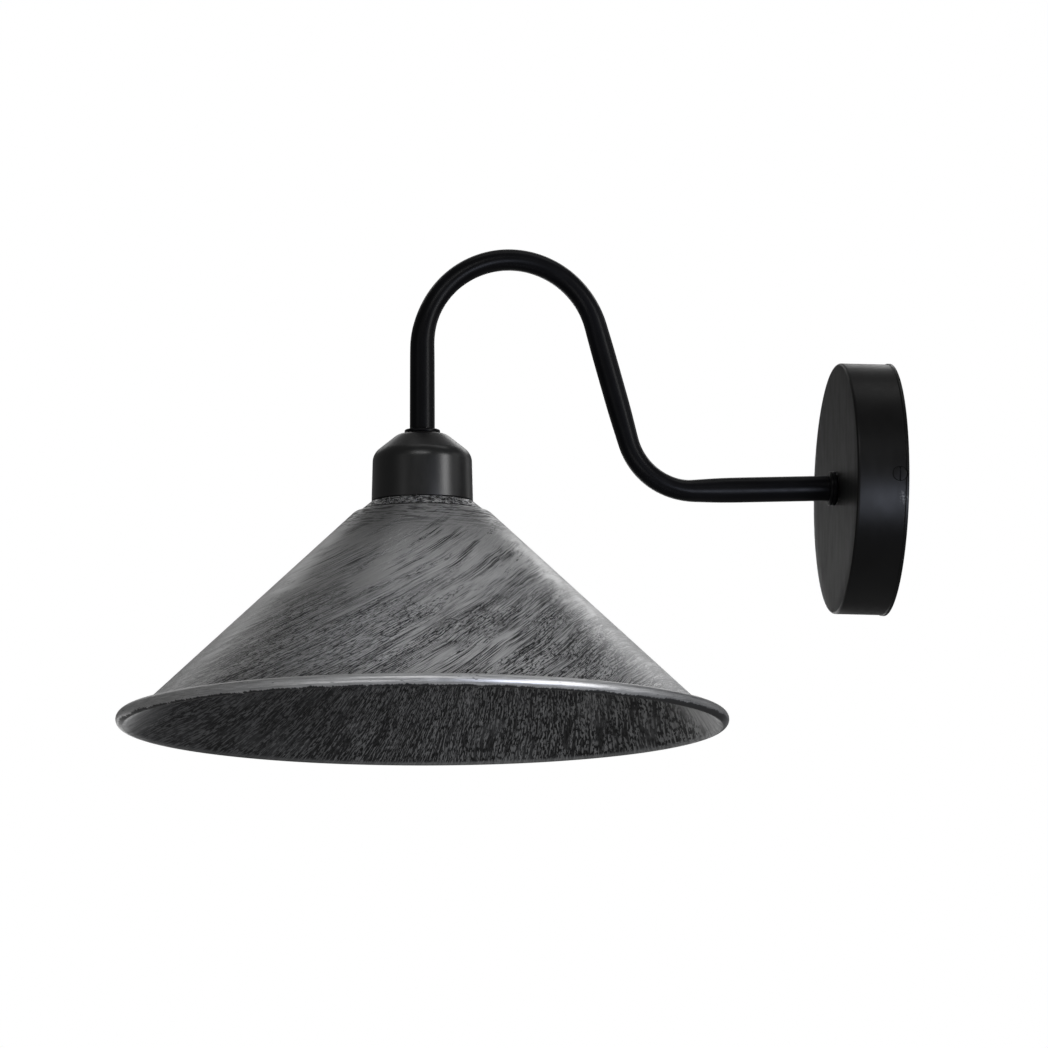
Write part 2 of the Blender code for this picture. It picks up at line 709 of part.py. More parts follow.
def cap_fasteners():
    bottom = HOLDER_TOP_Z - 10 * MM
    top = ARM_END_Z + 12 * MM
    place = LAMP_AXIS @ Matrix.Translation((0, 0, bottom))
    hollow_nipple("cap_nipple", place, top - bottom, 0.8 * MM, 9.8 * MM)
    nut_bottom = CAP_TOP_Z - CAP_WALL - GAP - NUT_THICKNESS
    hexagon_nut("cap_nut", LAMP_AXIS @ Matrix.Translation((0, 0, nut_bottom)))


# ---------------------------------------------------------------- lampholder


def holder_dome():
    """The holder's upper half: a neck on the nipple over a bell that takes the wires."""
    bore = NIPPLE_RADIUS + GAP
    wide = HOLDER_RADIUS + 0.2 * MM
    bottom = CORE_TOP_Z + 1 * MM
    outline = rounded([
        (bore, HOLDER_TOP_Z),
        (8 * MM, HOLDER_TOP_Z, 1 * MM),
        (8 * MM, 8.5 * MM, 2 * MM),
        (wide, 1.5 * MM, 5 * MM),
        (wide, bottom, 0.5 * MM),
        (wide - 2.2 * MM, bottom),
        (wide - 2.2 * MM, 0, 3 * MM),
        (9 * MM, 6.5 * MM),
        (bore, 6.5 * MM),
    ], steps=2)
    dome = add_piece("holder_dome", turned("holder_dome", outline, 24, LAMP_AXIS), "bakelite")
    screw_z = 11.5 * MM
    hole = ((0, -ARM_REACH, screw_z), (10 * MM, -ARM_REACH, screw_z))
    cut(dome, rod_mesh("locking_screw_hole", 1.8 * MM, *hole))
    turn = Matrix.Rotation(math.pi / 2, 4, "Y")
    place = Matrix.Translation((7.4 * MM, -ARM_REACH, screw_z)) @ turn
    outline = [(0, 0), (1.5 * MM, 0), (1.5 * MM, -1.6 * MM), (0.9 * MM, -2.3 * MM), (0, -2.3 * MM)]
    pin = turned("dome_locking_screw", outline, 16, place, solid=True)
    screw = add_piece("dome_locking_screw", pin, "zinc")
    slot = box_mesh("locking_slot", (-3 * MM, -0.25 * MM, -0.7 * MM), (3 * MM, 0.25 * MM, MM), place)
    cut(screw, slot)


def holder_core():
    """The insulating disc that carries the contacts, with a tower for each terminal on its top."""
    outline = rounded([
        (0, CORE_TOP_Z),
        (15.8 * MM, CORE_TOP_Z, 0.5 * MM),
        (15.8 * MM, CORE_BOTTOM_Z),
        (0, CORE_BOTTOM_Z),
    ], steps=2)
    core = add_piece("holder_core", turned("holder_core", outline, 28, LAMP_AXIS, solid=True), "ceramic")
    for side, line in ((-1, "live"), (1, "neutral")):
        tower_low = (side * 8 * MM - 3.5 * MM, -4 * MM, CORE_TOP_Z - MM)
        tower_high = (side * 8 * MM + 3.5 * MM, 4 * MM, TOWER_TOP_Z)
        fuse(core, box_mesh(f"{line}_tower", tower_low, tower_high, LAMP_AXIS))
        x = side * TERMINAL_X
        wire_hole = ((x, -ARM_REACH, TOWER_TOP_Z - 3.5 * MM), (x, -ARM_REACH, TOWER_TOP_Z + MM))
        cut(core, rod_mesh(f"{line}_wire_hole", WIRE_RADIUS + GAP, *wire_hole, segments=14))
        slot_half = STRIP_THICKNESS / 2 + GAP
        slot_low = (side * STRIP_X - slot_half, -2.8 * MM, CORE_BOTTOM_Z - MM)
        slot_high = (side * STRIP_X + slot_half, 2.8 * MM, TOWER_TOP_Z - 1.2 * MM)
        cut(core, box_mesh(f"{line}_strip_slot", slot_low, slot_high, LAMP_AXIS))
        screw_z = TOWER_TOP_Z - 2.2 * MM
        well = ((x, -ARM_REACH, screw_z), (x, -ARM_REACH - 5 * MM, screw_z))
        cut(core, rod_mesh(f"{line}_terminal_well", 1.3 * MM, *well, segments=14))
        face_out = ARM_REACH + 4 * MM + GAP
        at = Matrix.Translation((x, -face_out, screw_z)) @ OUT_FROM_WALL
        name = f"{line}_terminal_screw"
        slotted_screw(name, at, 1.9 * MM, 1.4 * MM, 1.0 * MM, 2.8 * MM, "brass")


def bent_strip(name, line, width, finish):
    """A strip of the contact thickness that follows a line of (x, z) points across the lampholder's axis."""
    points = [Vector(point) for point in line]
    left, right = [], []
    for i, point in enumerate(points):
        before = (point - points[i - 1]).normalized() if i else None
        after = (points[i + 1] - point).normalized() if i + 1 < len(points) else None
        along = ((before or after) + (after or before)).normalized()
        across = Vector((-along.y, along.x))
        stretch = 1 / max(0.5, across.dot(Vector((-(after or before).y, (after or before).x))))
        left.append(point + across * STRIP_THICKNESS / 2 * stretch)
        right.append(point - across * STRIP_THICKNESS / 2 * stretch)
    section = [tuple(point) for point in left + right[::-1]]
    place = LAMP_AXIS @ Matrix.Translation((0, width / 2, 0)) @ Matrix.Rotation(math.pi / 2, 4, "X")
    add_piece(name, extruded(name, section, 0, width, place), finish)


def contacts():
    """The sprung centre contact and the strip that feeds the threaded shell."""
    clear = STRIP_THICKNESS / 2 + GAP
    top = TOWER_TOP_Z - 1.2 * MM - GAP - CONTACT_TRAVEL
    level = CORE_BOTTOM_Z - CONTACT_TRAVEL - clear
    tight = 0.5 * MM  # corner, kept small so that it stays in the core's slot when it is pressed up
    tongue = [(-STRIP_X, top), (-STRIP_X, level + tight), (-STRIP_X + tight, level)]
    for x in (-5, -3, -1.5, 0, 1.5, 3):
        tongue.append((x * MM, level - 1.6 * MM * math.cos(math.pi * x / 10) ** 2))
    bent_strip("centre_contact", tongue, 4.6 * MM, "brass")
    foot = SHELL_TOP_Z + clear
    arm_line = [(STRIP_X, top), (STRIP_X, foot + 1.2 * MM), (STRIP_X + 1.2 * MM, foot), (13.2 * MM, foot)]
    bent_strip("shell_contact", arm_line, 4.6 * MM, "brass")


def screw_shell():
    """The threaded metal shell of the socket: rounded threads, a turned-in top and a turned-out foot."""
    pitch = 3.62 * MM
    depth = 0.45 * MM
    wall = 0.5 * MM
    steps = 4
    rows = round((SHELL_TOP_Z - SHELL_BOTTOM_Z - 2 * MM) / pitch) * steps
    outer = []
    for i in range(rows + 1):
        z = SHELL_BOTTOM_Z + MM + pitch * i / steps
        outer.append((SHELL_RADIUS + depth * math.cos(2 * math.pi * i / steps), z))
    outer.append((SHELL_RADIUS, SHELL_TOP_Z))
    inner = [(r - wall, z) for r, z in outer[-2::-1]]
    flange = [
        (11.6 * MM, SHELL_TOP_Z),
        (11.6 * MM, SHELL_TOP_Z - wall),
        (SHELL_RADIUS - wall, SHELL_TOP_Z - wall),
    ]
    foot = [(SHELL_RADIUS - wall, SHELL_BOTTOM_Z), (SHELL_RADIUS + 1 * MM, SHELL_BOTTOM_Z)]
    foot.append((SHELL_RADIUS + 1 * MM, SHELL_BOTTOM_Z + wall))
    outline = foot + outer + flange + inner
    add_piece("screw_shell", turned("screw_shell", outline, 20, LAMP_AXIS), "brass")


def holder_skirt():
    """The lower half of the holder, threaded outside for the shade ring. Its rim is where a lamp goes in."""
    top = CORE_TOP_Z + 4 * MM
    shoulder = CORE_TOP_Z + 0.7 * MM
    ledge = CORE_BOTTOM_Z - GAP
    pitch = 3 * MM
    depth = 0.5 * MM
    thread = []
    z = ledge - 7 * MM
    while z > HOLDER_RIM_Z + 3 * MM:
        thread += [(HOLDER_RADIUS, z), (HOLDER_RADIUS - depth, z - pitch / 2)]
        z -= pitch
    outline = rounded([
        (16.3 * MM, top),
        (17.1 * MM, top),
        (17.1 * MM, shoulder),
        (HOLDER_RADIUS, shoulder),
        *thread,
        (HOLDER_RADIUS, HOLDER_RIM_Z, 0.8 * MM),
        (14.3 * MM, HOLDER_RIM_Z),
        (14.3 * MM, SHELL_BOTTOM_Z - GAP),
        (15.4 * MM, SHELL_BOTTOM_Z - GAP),
        (15.4 * MM, ledge),
        (16.3 * MM, ledge),
    ], steps=2)
    add_piece("holder_skirt", turned("holder_skirt", outline, 24, LAMP_AXIS), "bakelite")


def shade_ring():
    """The threaded ring under the shade: a flange that presses it up, and a ribbed grip."""
    top = STEP_TOP_Z - SHADE_SHEET - GAP
    bottom = top - 9 * MM
    bore = HOLDER_RADIUS + 1.2 * GAP
    flange = rounded([
        (bore, top),
        (23 * MM, top, 0.4 * MM),
        (23 * MM, top - 2 * MM, 0.4 * MM),
        (21.6 * MM, top - 2 * MM),
        (21.6 * MM, bottom, 0.4 * MM),
        (bore, bottom),
    ], steps=1)
    ring = add_piece("shade_ring", turned("shade_ring", flange, 36, LAMP_AXIS), "bakelite")
    ribs = 12
    for i in range(ribs):
        turn = Matrix.Rotation(2 * math.pi * (i + 0.5) / ribs, 4, "Z")
        low = (21 * MM, -1.1 * MM, bottom + 0.8 * MM)
        high = (22.5 * MM, 1.1 * MM, top - 1.5 * MM)
        fuse(ring, box_mesh(f"grip_rib_{i}", low, high, LAMP_AXIS @ turn))


# ---------------------------------------------------------------- shade


def rim_bead():
    """The rolled rim's outline, from the crease with the outer side round to where the inner side starts."""
    slope = math.atan(CONE_SPREAD)  # of the outward normal, up from level
    normal = Vector((math.cos(slope), math.sin(slope)))
    lift = BEAD_RADIUS - SHADE_SHEET
    radius = RIM_RADIUS - BEAD_RADIUS
    # The sheet's outer side passes under the bead's middle at the distance lift.
    height = STEP_FOOT_Z - (radius - CONE_TOP_RADIUS - lift / normal.x) / CONE_SPREAD
    end = slope - math.pi
    start = end + 2 * math.pi - math.acos(lift / BEAD_RADIUS)
    # Corners at the outermost and the lowest point keep the full size.
    above, below = 6, 3
    angles = [start * (1 - i / above) for i in range(above)]
    angles += [-math.pi / 2 * i / below for i in range(below + 1)] + [end]
    return [(radius + BEAD_RADIUS * math.cos(a), height + BEAD_RADIUS * math.sin(a)) for a in angles]


def shade():
    """One spun sheet: a flat top with a hole, a step, a straight cone, and a rim rolled outwards."""
    bead = rim_bead()
    sheet = SHADE_SHEET
    slope = math.atan(CONE_SPREAD)
    inner_shift = sheet * math.tan(slope / 2)
    outline = rounded([
        (SHADE_HOLE, STEP_TOP_Z),
        (STEP_TOP_RADIUS, STEP_TOP_Z, 1.6 * MM),
        (STEP_FOOT_RADIUS, STEP_FOOT_Z + 0.5 * MM, 0.6 * MM),
        (STEP_FOOT_RADIUS, STEP_FOOT_Z),
        (CONE_TOP_RADIUS, STEP_FOOT_Z, 5 * MM),
        *bead,
        (CONE_TOP_RADIUS - inner_shift, STEP_FOOT_Z - sheet, 4 * MM),
        (STEP_FOOT_RADIUS - 1.2 * sheet, STEP_FOOT_Z - sheet, 0.8 * MM),
        (STEP_TOP_RADIUS - sheet, STEP_TOP_Z - sheet, 0.8 * MM),
        (SHADE_HOLE, STEP_TOP_Z - sheet),
    ], steps=2)
    add_piece("shade", turned("shade", outline, 48, LAMP_AXIS), "brushed_silver")


# ---------------------------------------------------------------- inside wires


def eased(start, start_way, end, end_way, steps):
    """Points of a smooth curve from start to end, without the start point."""
    points = []
    for i in range(1, steps + 1):
        t = i / steps
        points.append(
            start * (2 * t**3 - 3 * t**2 + 1)
            + start_way * (t**3 - 2 * t**2 + t)
            + end * (3 * t**2 - 2 * t**3)
            + end_way * (t**3 - t**2)
        )
    return points


def add_wire(name, points, finish):
    curve = bpy.data.curves.new(name, "CURVE")
    curve.dimensions = "3D"
    curve.bevel_depth = WIRE_RADIUS
    curve.bevel_resolution = 1
    curve.use_fill_caps = True
    spline = curve.splines.new("POLY")
    spline.points.add(len(points) - 1)
    for slot, point in zip(spline.points, points):
        slot.co = (*point, 1)
    obj = bpy.data.objects.new(name, curve)
    curve.materials.append(finish_material(name, finish))
    bpy.context.scene.collection.objects.link(obj)


def mains_wire(name, side, finish):
    """From a pole of the terminal block, through the nipples and the arm, to a tower of the lampholder."""
    x = side * WIRE_OFFSET
    pole = Vector((side * POLE_X, -POLE_OUT, BLOCK_TOP - 7 * MM))
    pole_mouth = Vector((side * POLE_X, -POLE_OUT, BLOCK_TOP + MM))
    nipple_mouth = Vector((x, -16.5 * MM, 0))
    points = [pole, pole_mouth]
    points += eased(pole_mouth, Vector((0, 0, 24 * MM)), nipple_mouth, Vector((0, -24 * MM, 0)), 7)
    points += [on_arm(station, x) for station in arm_stations()]
    nipple_end = Vector((x, -ARM_REACH, HOLDER_TOP_Z - 9.5 * MM))
    tower = Vector((side * TERMINAL_X, -ARM_REACH, TOWER_TOP_Z))
    points += [nipple_end]
    points += eased(nipple_end, Vector((0, 0, -9 * MM)), tower, Vector((0, 0, -9 * MM)), 5)
    points += [tower - Vector((0, 0, 3 * MM))]
    add_wire(name, points, finish)


def earth_wire():
    """From the ring tag on the nipple round to the ring tag on the strap."""
    tag_out = ROSE_DEPTH - ROSE_SHEET - GAP - TAG_THICKNESS
    start = Vector((12 * MM, -(tag_out - 1.2 * MM), 0))
    end_x = EARTH_SCREW_X + 9 * MM
    end = Vector((end_x, -(STRAP_THICKNESS + GAP + 1.8 * MM), EARTH_SCREW_Z))
    points = [start, start + Vector((4 * MM, 0, 0))]
    arrive = end + Vector((4 * MM, 0, 0))
    points += eased(points[-1], Vector((38 * MM, 0, 8 * MM)), arrive, Vector((-22 * MM, 0, 0)), 10)
    points += [end]
    add_wire("earth_wire", points, "green_pvc")


def main():
    clear_scene()
    rose()
    side_screw("side_screw_left", -1)
    side_screw("side_screw_right", 1)
    strap()
    collar()
    rose_fasteners()
    earth_point()
    terminal_block()
    arm()
    cap_washer()
    cap()
    cap_fasteners()
    holder_dome()
    holder_core()
    contacts()
    screw_shell()
    holder_skirt()
    shade_ring()
    shade()
    mains_wire("live_wire", -1, "brown_pvc")
    mains_wire("neutral_wire", 1, "blue_pvc")
    earth_wire()


main()
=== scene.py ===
"""Looks of the swan-neck wall light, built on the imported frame.

The row frame: metres, +Z up, the wall is the plane Y = 0, and the light stands out towards -Y.
"""

import math

import bmesh
import bpy
import numpy as np
from mathutils import Matrix, Vector


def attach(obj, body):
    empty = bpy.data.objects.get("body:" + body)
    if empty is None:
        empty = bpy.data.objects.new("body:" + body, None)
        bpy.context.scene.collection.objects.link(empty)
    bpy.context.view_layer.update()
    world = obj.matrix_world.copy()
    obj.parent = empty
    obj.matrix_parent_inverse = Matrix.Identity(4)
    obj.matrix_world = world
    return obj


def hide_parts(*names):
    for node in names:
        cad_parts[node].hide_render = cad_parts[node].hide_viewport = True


MM = 0.001
TURN = 2 * math.pi

# Lengths that several pieces share, in mm
GAP = 0.3  # between pieces that meet
REACH = 226.0  # of the lamp's axis from the wall
ROSE_RADIUS, ROSE_DEPTH, ROSE_SHEET = 60, 25, 1
SIDE_SCREW_OUT = 4.5  # of the side screws from the wall
STRAP, TAG = 1.5, 0.8  # thickness of the mounting strap, and of an earth tag
NIPPLE_RADIUS, NIPPLE_BORE = 4.7, 3.6
BLOCK_DEPTH = 12.5
POLE_ASIDE, POLE_OUT = 5.2, 7.8  # of the terminal block's poles, from the middle and from the wall
TERMINAL_ASIDE = 6.4  # of the lampholder's terminals from the lamp's axis
SKIRT_RADIUS = 19.6
SPREAD = 1.08  # of the cone's radius for each mm down

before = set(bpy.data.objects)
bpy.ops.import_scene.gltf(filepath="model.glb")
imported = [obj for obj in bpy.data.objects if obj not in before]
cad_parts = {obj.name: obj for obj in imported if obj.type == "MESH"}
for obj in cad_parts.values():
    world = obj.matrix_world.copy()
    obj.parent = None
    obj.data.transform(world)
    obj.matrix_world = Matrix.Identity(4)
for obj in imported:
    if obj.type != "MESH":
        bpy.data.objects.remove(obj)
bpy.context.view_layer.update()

OUT_FROM_WALL = Matrix.Rotation(math.pi / 2, 4, "X")
LAMP_AXIS = Matrix.Translation((0, -REACH * MM, 0))


def along_wall_normal(out, x=0.0, z=0.0):
    """A place whose own +Z points out from the wall."""
    return Matrix.Translation((x * MM, -out * MM, z * MM)) @ OUT_FROM_WALL


def metres(x, y, z):
    """A point or a way given in mm."""
    return Vector((x, y, z)) * MM


# ---------------------------------------------------------------- shapes, in mm


def fillet(before, corner, after, radius, steps):
    """The points of a corner's rounding, in the order before, corner, after."""
    into = (Vector(before) - Vector(corner)).normalized()
    out_of = (Vector(after) - Vector(corner)).normalized()
    half = into.angle(out_of) / 2
    centre = Vector(corner) + (into + out_of).normalized() * (radius / math.sin(half))
    start = Vector(corner) + into * (radius / math.tan(half)) - centre
    end = Vector(corner) + out_of * (radius / math.tan(half)) - centre
    turn = start.angle_signed(end)
    return [tuple(centre + Matrix.Rotation(-turn * i / steps, 2) @ start) for i in range(steps + 1)]


def rounded(corners, steps=8):
    """A closed outline from (r, z) or (r, z, rounding's radius) corners."""
    points = []
    for i, corner in enumerate(corners):
        if len(corner) == 2:
            points.append(corner)
            continue
        before, after = corners[i - 1][:2], corners[(i + 1) % len(corners)][:2]
        points.extend(fillet(before, corner[:2], after, corner[2], steps))
    return points


def lengthened(outline, longest):
    """The outline with its long edges cut up, so that a bend in it stays smooth."""
    points = []
    for i, point in enumerate(outline):
        after = outline[(i + 1) % len(outline)]
        parts = max(1, math.ceil(math.dist(point, after) / longest))
        for part in range(parts):
            share = part / parts
            points.append(tuple(a + (b - a) * share for a, b in zip(point, after)))
    return points


def mesh_piece(name, verts, faces, place, sharp=40):
    """A new object from verts in metres, with edges kept sharp above this angle in degrees."""
    mesh = bpy.data.meshes.new(name)
    mesh.from_pydata([tuple(v) for v in verts], [], faces)
    mesh.transform(place)
    builder = bmesh.new()
    builder.from_mesh(mesh)
    bmesh.ops.remove_doubles(builder, verts=builder.verts, dist=1e-7)
    bmesh.ops.recalc_face_normals(builder, faces=builder.faces)
    builder.to_mesh(mesh)
    builder.free()
    mesh.shade_smooth()
    mesh.set_sharp_from_angle(angle=math.radians(sharp))
    obj = bpy.data.objects.new(name, mesh)
    bpy.context.scene.collection.objects.link(obj)
    return obj


def grid_faces(rows, columns, close_rows):
    """Faces between rows of points. Each row is a closed loop."""
    faces = []
    for row in range(rows if close_rows else rows - 1):
        here, there = row * columns, (row + 1) % rows * columns
        for column in range(columns):
            beside = (column + 1) % columns
            faces.append((here + column, here + beside, there + beside, there + column))
    return faces


def spun(name, outline, place=LAMP_AXIS, *, segments, ripple=None, solid=False, sharp=40):
    """An (r, z) outline spun about Z. ripple(r, z, angle) gives new radii, for threads and ribs."""
    outline = np.array(outline, float)
    angle = np.arange(segments) * TURN / segments
    radius = np.repeat(outline[:, :1], segments, axis=1)
    height = np.repeat(outline[:, 1:], segments, axis=1)
    turn = np.repeat(angle[None, :], len(outline), axis=0)
    if ripple:
        radius = ripple(radius, height, turn)
    verts = np.stack([radius * np.cos(turn), radius * np.sin(turn), height], axis=2).reshape(-1, 3)
    faces = grid_faces(len(outline), segments, not solid)
    return mesh_piece(name, verts * MM, faces, place, sharp)


def cut_away(obj, cutter):
    """Takes the cutter's shape out of obj for good."""
    modifier = obj.modifiers.new("cut", "BOOLEAN")
    modifier.solver = "EXACT"
    modifier.object = cutter
    graph = bpy.context.evaluated_depsgraph_get()
    mesh = bpy.data.meshes.new_from_object(obj.evaluated_get(graph))
    builder = bmesh.new()
    builder.from_mesh(mesh)
    bmesh.ops.dissolve_degenerate(builder, dist=1e-6, edges=builder.edges)
    builder.to_mesh(mesh)
    builder.free()
    obj.modifiers.clear()
    obj.data = mesh
    mesh.set_sharp_from_angle(angle=math.radians(40))
    bpy.data.objects.remove(cutter)


def block(low, high, place):
    """A box for cutting."""
    corners = [(x, y, z) for x in (low[0], high[0]) for y in (low[1], high[1]) for z in (low[2], high[2])]
    faces = [(0, 1, 3, 2), (4, 6, 7, 5), (0, 4, 5, 1), (2, 3, 7, 6), (0, 2, 6, 4), (1, 5, 7, 3)]
    return mesh_piece("cutter", np.array(corners) * MM, faces, place)


def screw(name, place, outline, slot_half, slot_depth, slot_reach):
    """A slotted screw from a solid's outline, whose highest point is the top of the head."""
    piece = spun(name, rounded(outline, steps=4), place, segments=48, solid=True)
    top = max(corner[1] for corner in outline)
    low = (-slot_reach, -slot_half, top - slot_depth)
    high = (slot_reach, slot_half, top + 1)
    cut_away(piece, block(low, high, place))
    return piece


def cheese_head(name, place, head, height, shank, length):
    """A cheese-head screw of these radii and lengths, with z = 0 under its head."""
    outline = [
        (0, height), (head, height, height * 0.28), (head, 0), (shank, 0), (shank, -length), (0, -length),
    ]
    return screw(name, place, outline, slot_half=0.14 * head, slot_depth=height * 0.5, slot_reach=head * 1.5)


def swept(name, rings):
    """Joins rings of points, and closes the ends."""
    columns = len(rings[0])
    verts = [point for points in rings for point in points]
    faces = grid_faces(len(rings), columns, False)
    faces += [tuple(range(columns)), tuple(range(len(verts) - columns, len(verts)))]
    return mesh_piece(name, verts, faces, Matrix(), sharp=60)


# ---------------------------------------------------------------- the arm's line, in mm

CROWN, ARM_END = 106.6, 24.0  # heights of its highest point and its lower end
TOP_BEND, LOWER_BEND, DROOP_BEND = 43.0, 32.0, 60.0  # radii of the line's bends
SLANT = math.radians(16)  # of the long straight part off upright
DROOP = math.radians(2.5)  # of the run from the rose below level
LEVEL_START = 5.0
BEND_EASE = 14.0  # length of straight tube over which a bend's flattening comes and goes
STATION_GAP = 2.0  # longest step along the line
EASE_PASSES = 12  # of smoothing over the flattening


def arm_stations():
    """Fine (out, height, heading, flattening) steps from the rose to the cap, in mm and radians."""
    rise = math.pi / 2 - SLANT
    out, height, heading, flat = ROSE_DEPTH + GAP, 0.0, 0.0, 0.0
    stations = [(out, height, heading, flat)]
    run_out = out + LEVEL_START + DROOP_BEND * math.sin(DROOP)
    run_height = -DROOP_BEND * (1 - math.cos(DROOP))
    slant_out = REACH - TOP_BEND * (1 + math.sin(rise))
    slant_height = CROWN - TOP_BEND * (1 - math.cos(rise))
    sides = Matrix(((math.cos(DROOP), math.cos(rise)), (-math.sin(DROOP), math.sin(rise))))
    run, slant = sides.inverted() @ Vector((
        slant_out - run_out - LOWER_BEND * (math.sin(rise) + math.sin(DROOP)),
        slant_height - run_height - LOWER_BEND * (math.cos(DROOP) - math.cos(rise)),
    ))
    parts = [  # length or radius, turn, flattening at its end
        (LEVEL_START, 0, 0), (DROOP_BEND, -DROOP, 0), (run - BEND_EASE, 0, 0), (BEND_EASE, 0, 0.6),
        (LOWER_BEND, (rise + DROOP) / 9, 1), (LOWER_BEND, (rise + DROOP) * 8 / 9, 1), (BEND_EASE, 0, 0.45),
        (slant - 2 * BEND_EASE, 0, 0.4), (BEND_EASE, 0, 0.6), (TOP_BEND, -rise / 7, 0.85),
        (TOP_BEND, -rise * 6 / 7 - math.pi * 3 / 8, 0.85), (TOP_BEND, -math.pi / 8, 0.1), (None, 0, 0),
    ]
    for size, turn, flat_after in parts:
        size = height - ARM_END if size is None else size
        travel = abs(size * turn) if turn else size
        steps = max(2, math.ceil(travel / STATION_GAP))
        side = math.copysign(size, turn)
        centre = (out - side * math.sin(heading), height + side * math.cos(heading))
        began = flat
        for step in range(1, steps + 1):
            share = step / steps
            if turn:
                heading += turn / steps
                out = centre[0] + side * math.sin(heading)
                height = centre[1] - side * math.cos(heading)
            else:
                out += size / steps * math.cos(heading)
                height += size / steps * math.sin(heading)
            ease = share * share * (3 - 2 * share)
            flat = began + (flat_after - began) * ease
            stations.append((out, height, heading, flat))
    flats = [station[3] for station in stations]
    for _ in range(EASE_PASSES):
        flats[1:-1] = [(a + b + c) / 3 for a, b, c in zip(flats, flats[1:], flats[2:])]
    return [(*station[:3], flat) for station, flat in zip(stations, flats)]


def beside_arm(station, sideways, upward):
    """The point this far from the arm's line, in metres."""
    out, height, heading, _ = station
    return metres(sideways, -(out - upward * math.sin(heading)), height + upward * math.cos(heading))


# ---------------------------------------------------------------- materials


class Graph:
    """A material's nodes, in short calls."""

    def __init__(self, name, material=None):
        self.material = material or bpy.data.materials.new(name)
        self.material.use_nodes = True
        self.tree = self.material.node_tree
        self.shader = self.tree.nodes["Principled BSDF"]

    def node(self, kind, inputs=(), **settings):
        node = self.tree.nodes.new(kind)
        for key, value in settings.items():
            setattr(node, key, value)
        for key, value in dict(inputs).items():
            self.feed(node.inputs[key], value)
        return node

    def feed(self, socket, value):
        if isinstance(value, bpy.types.NodeSocket):
            self.tree.links.new(value, socket)
        else:
            socket.default_value = value

    def set(self, **inputs):
        """Feeds the shader's own inputs, such as Base_Color."""
        for key, value in inputs.items():
            self.feed(self.shader.inputs[key.replace("_", " ")], value)

    def place(self):
        """The point in the row frame."""
        return self.node("ShaderNodeTexCoord").outputs["Object"]

    def math(self, operation, a, b=0.0, c=0.0):
        node = self.node("ShaderNodeMath", operation=operation)
        for socket, value in zip(node.inputs, (a, b, c)):
            self.feed(socket, value)
        return node.outputs[0]

    def plus(self, a, b):
        return self.math("ADD", a, b)

    def times(self, a, b):
        return self.math("MULTIPLY", a, b)

    def times_plus(self, a, b, c):
        """a times b, plus c."""
        return self.math("MULTIPLY_ADD", a, b, c)

    def most(self, a, b):
        return self.math("MAXIMUM", a, b)

    def span(self, value, low, high, to_low=0.0, to_high=1.0):
        """Value from low..high, clamped and eased, as to_low..to_high."""
        inputs = {"Value": value, "From Min": low, "From Max": high, "To Min": to_low, "To Max": to_high}
        node = self.node("ShaderNodeMapRange", inputs, interpolation_type="SMOOTHSTEP")
        return node.outputs["Result"]

    def join(self, x, y, z):
        return self.node("ShaderNodeCombineXYZ", {"X": x, "Y": y, "Z": z}).outputs[0]

    def split(self, vector):
        return self.node("ShaderNodeSeparateXYZ", {"Vector": vector}).outputs

    def noise(self, vector, scale, detail, roughness=0.5, distortion=0.0):
        inputs = {"Vector": vector, "Scale": scale, "Detail": detail}
        inputs |= {"Roughness": roughness, "Distortion": distortion}
        return self.node("ShaderNodeTexNoise", inputs).outputs["Fac"]

    def stretched(self, vector, scale):
        node = self.node("ShaderNodeVectorMath", {0: vector, 1: scale}, operation="MULTIPLY")
        return node.outputs[0]

    def mix(self, share, a, b):
        """Colours mixed: a at share 0, b at share 1."""
        node = self.node("ShaderNodeMix", data_type="RGBA")
        self.feed(node.inputs[0], share)
        self.feed(node.inputs[6], a if isinstance(a, bpy.types.NodeSocket) else (*a, 1))
        self.feed(node.inputs[7], b if isinstance(b, bpy.types.NodeSocket) else (*b, 1))
        return node.outputs[2]

    def blend(self, share, a, b):
        """Numbers mixed: a at share 0, b at share 1."""
        node = self.node("ShaderNodeMix", data_type="FLOAT")
        for index, value in ((0, share), (2, a), (3, b)):
            self.feed(node.inputs[index], value)
        return node.outputs[0]

    def bump(self, height, distance, strength):
        inputs = {"Height": height, "Distance": distance, "Strength": strength}
        return self.node("ShaderNodeBump", inputs).outputs[0]


def grey(value):
    return (value, value, value)


def enamel(name, dark, light, roughness, peel, specular):
    """Black enamel: barely mottled, with a fine orange peel and faint handling marks."""
    g = Graph(name)
    at = g.place()
    cloud = g.noise(at, 38, 3)
    smear = g.noise(g.stretched(at, (160, 160, 45)), 1, 4, 0.6)
    colour = g.mix(g.span(cloud, 0.35, 0.7), dark, light)
    fine = g.noise(at, 1400, 2)
    broad = g.noise(at, 420, 1)
    skin = g.plus(g.times(fine, 0.4), broad)
    rough = g.span(smear, 0.35, 0.72, roughness - 0.02, roughness + 0.04)
    g.set(Base_Color=colour, Roughness=rough, Normal=g.bump(skin, peel * MM, 0.5))
    g.set(Specular_IOR_Level=specular)
    return g.material


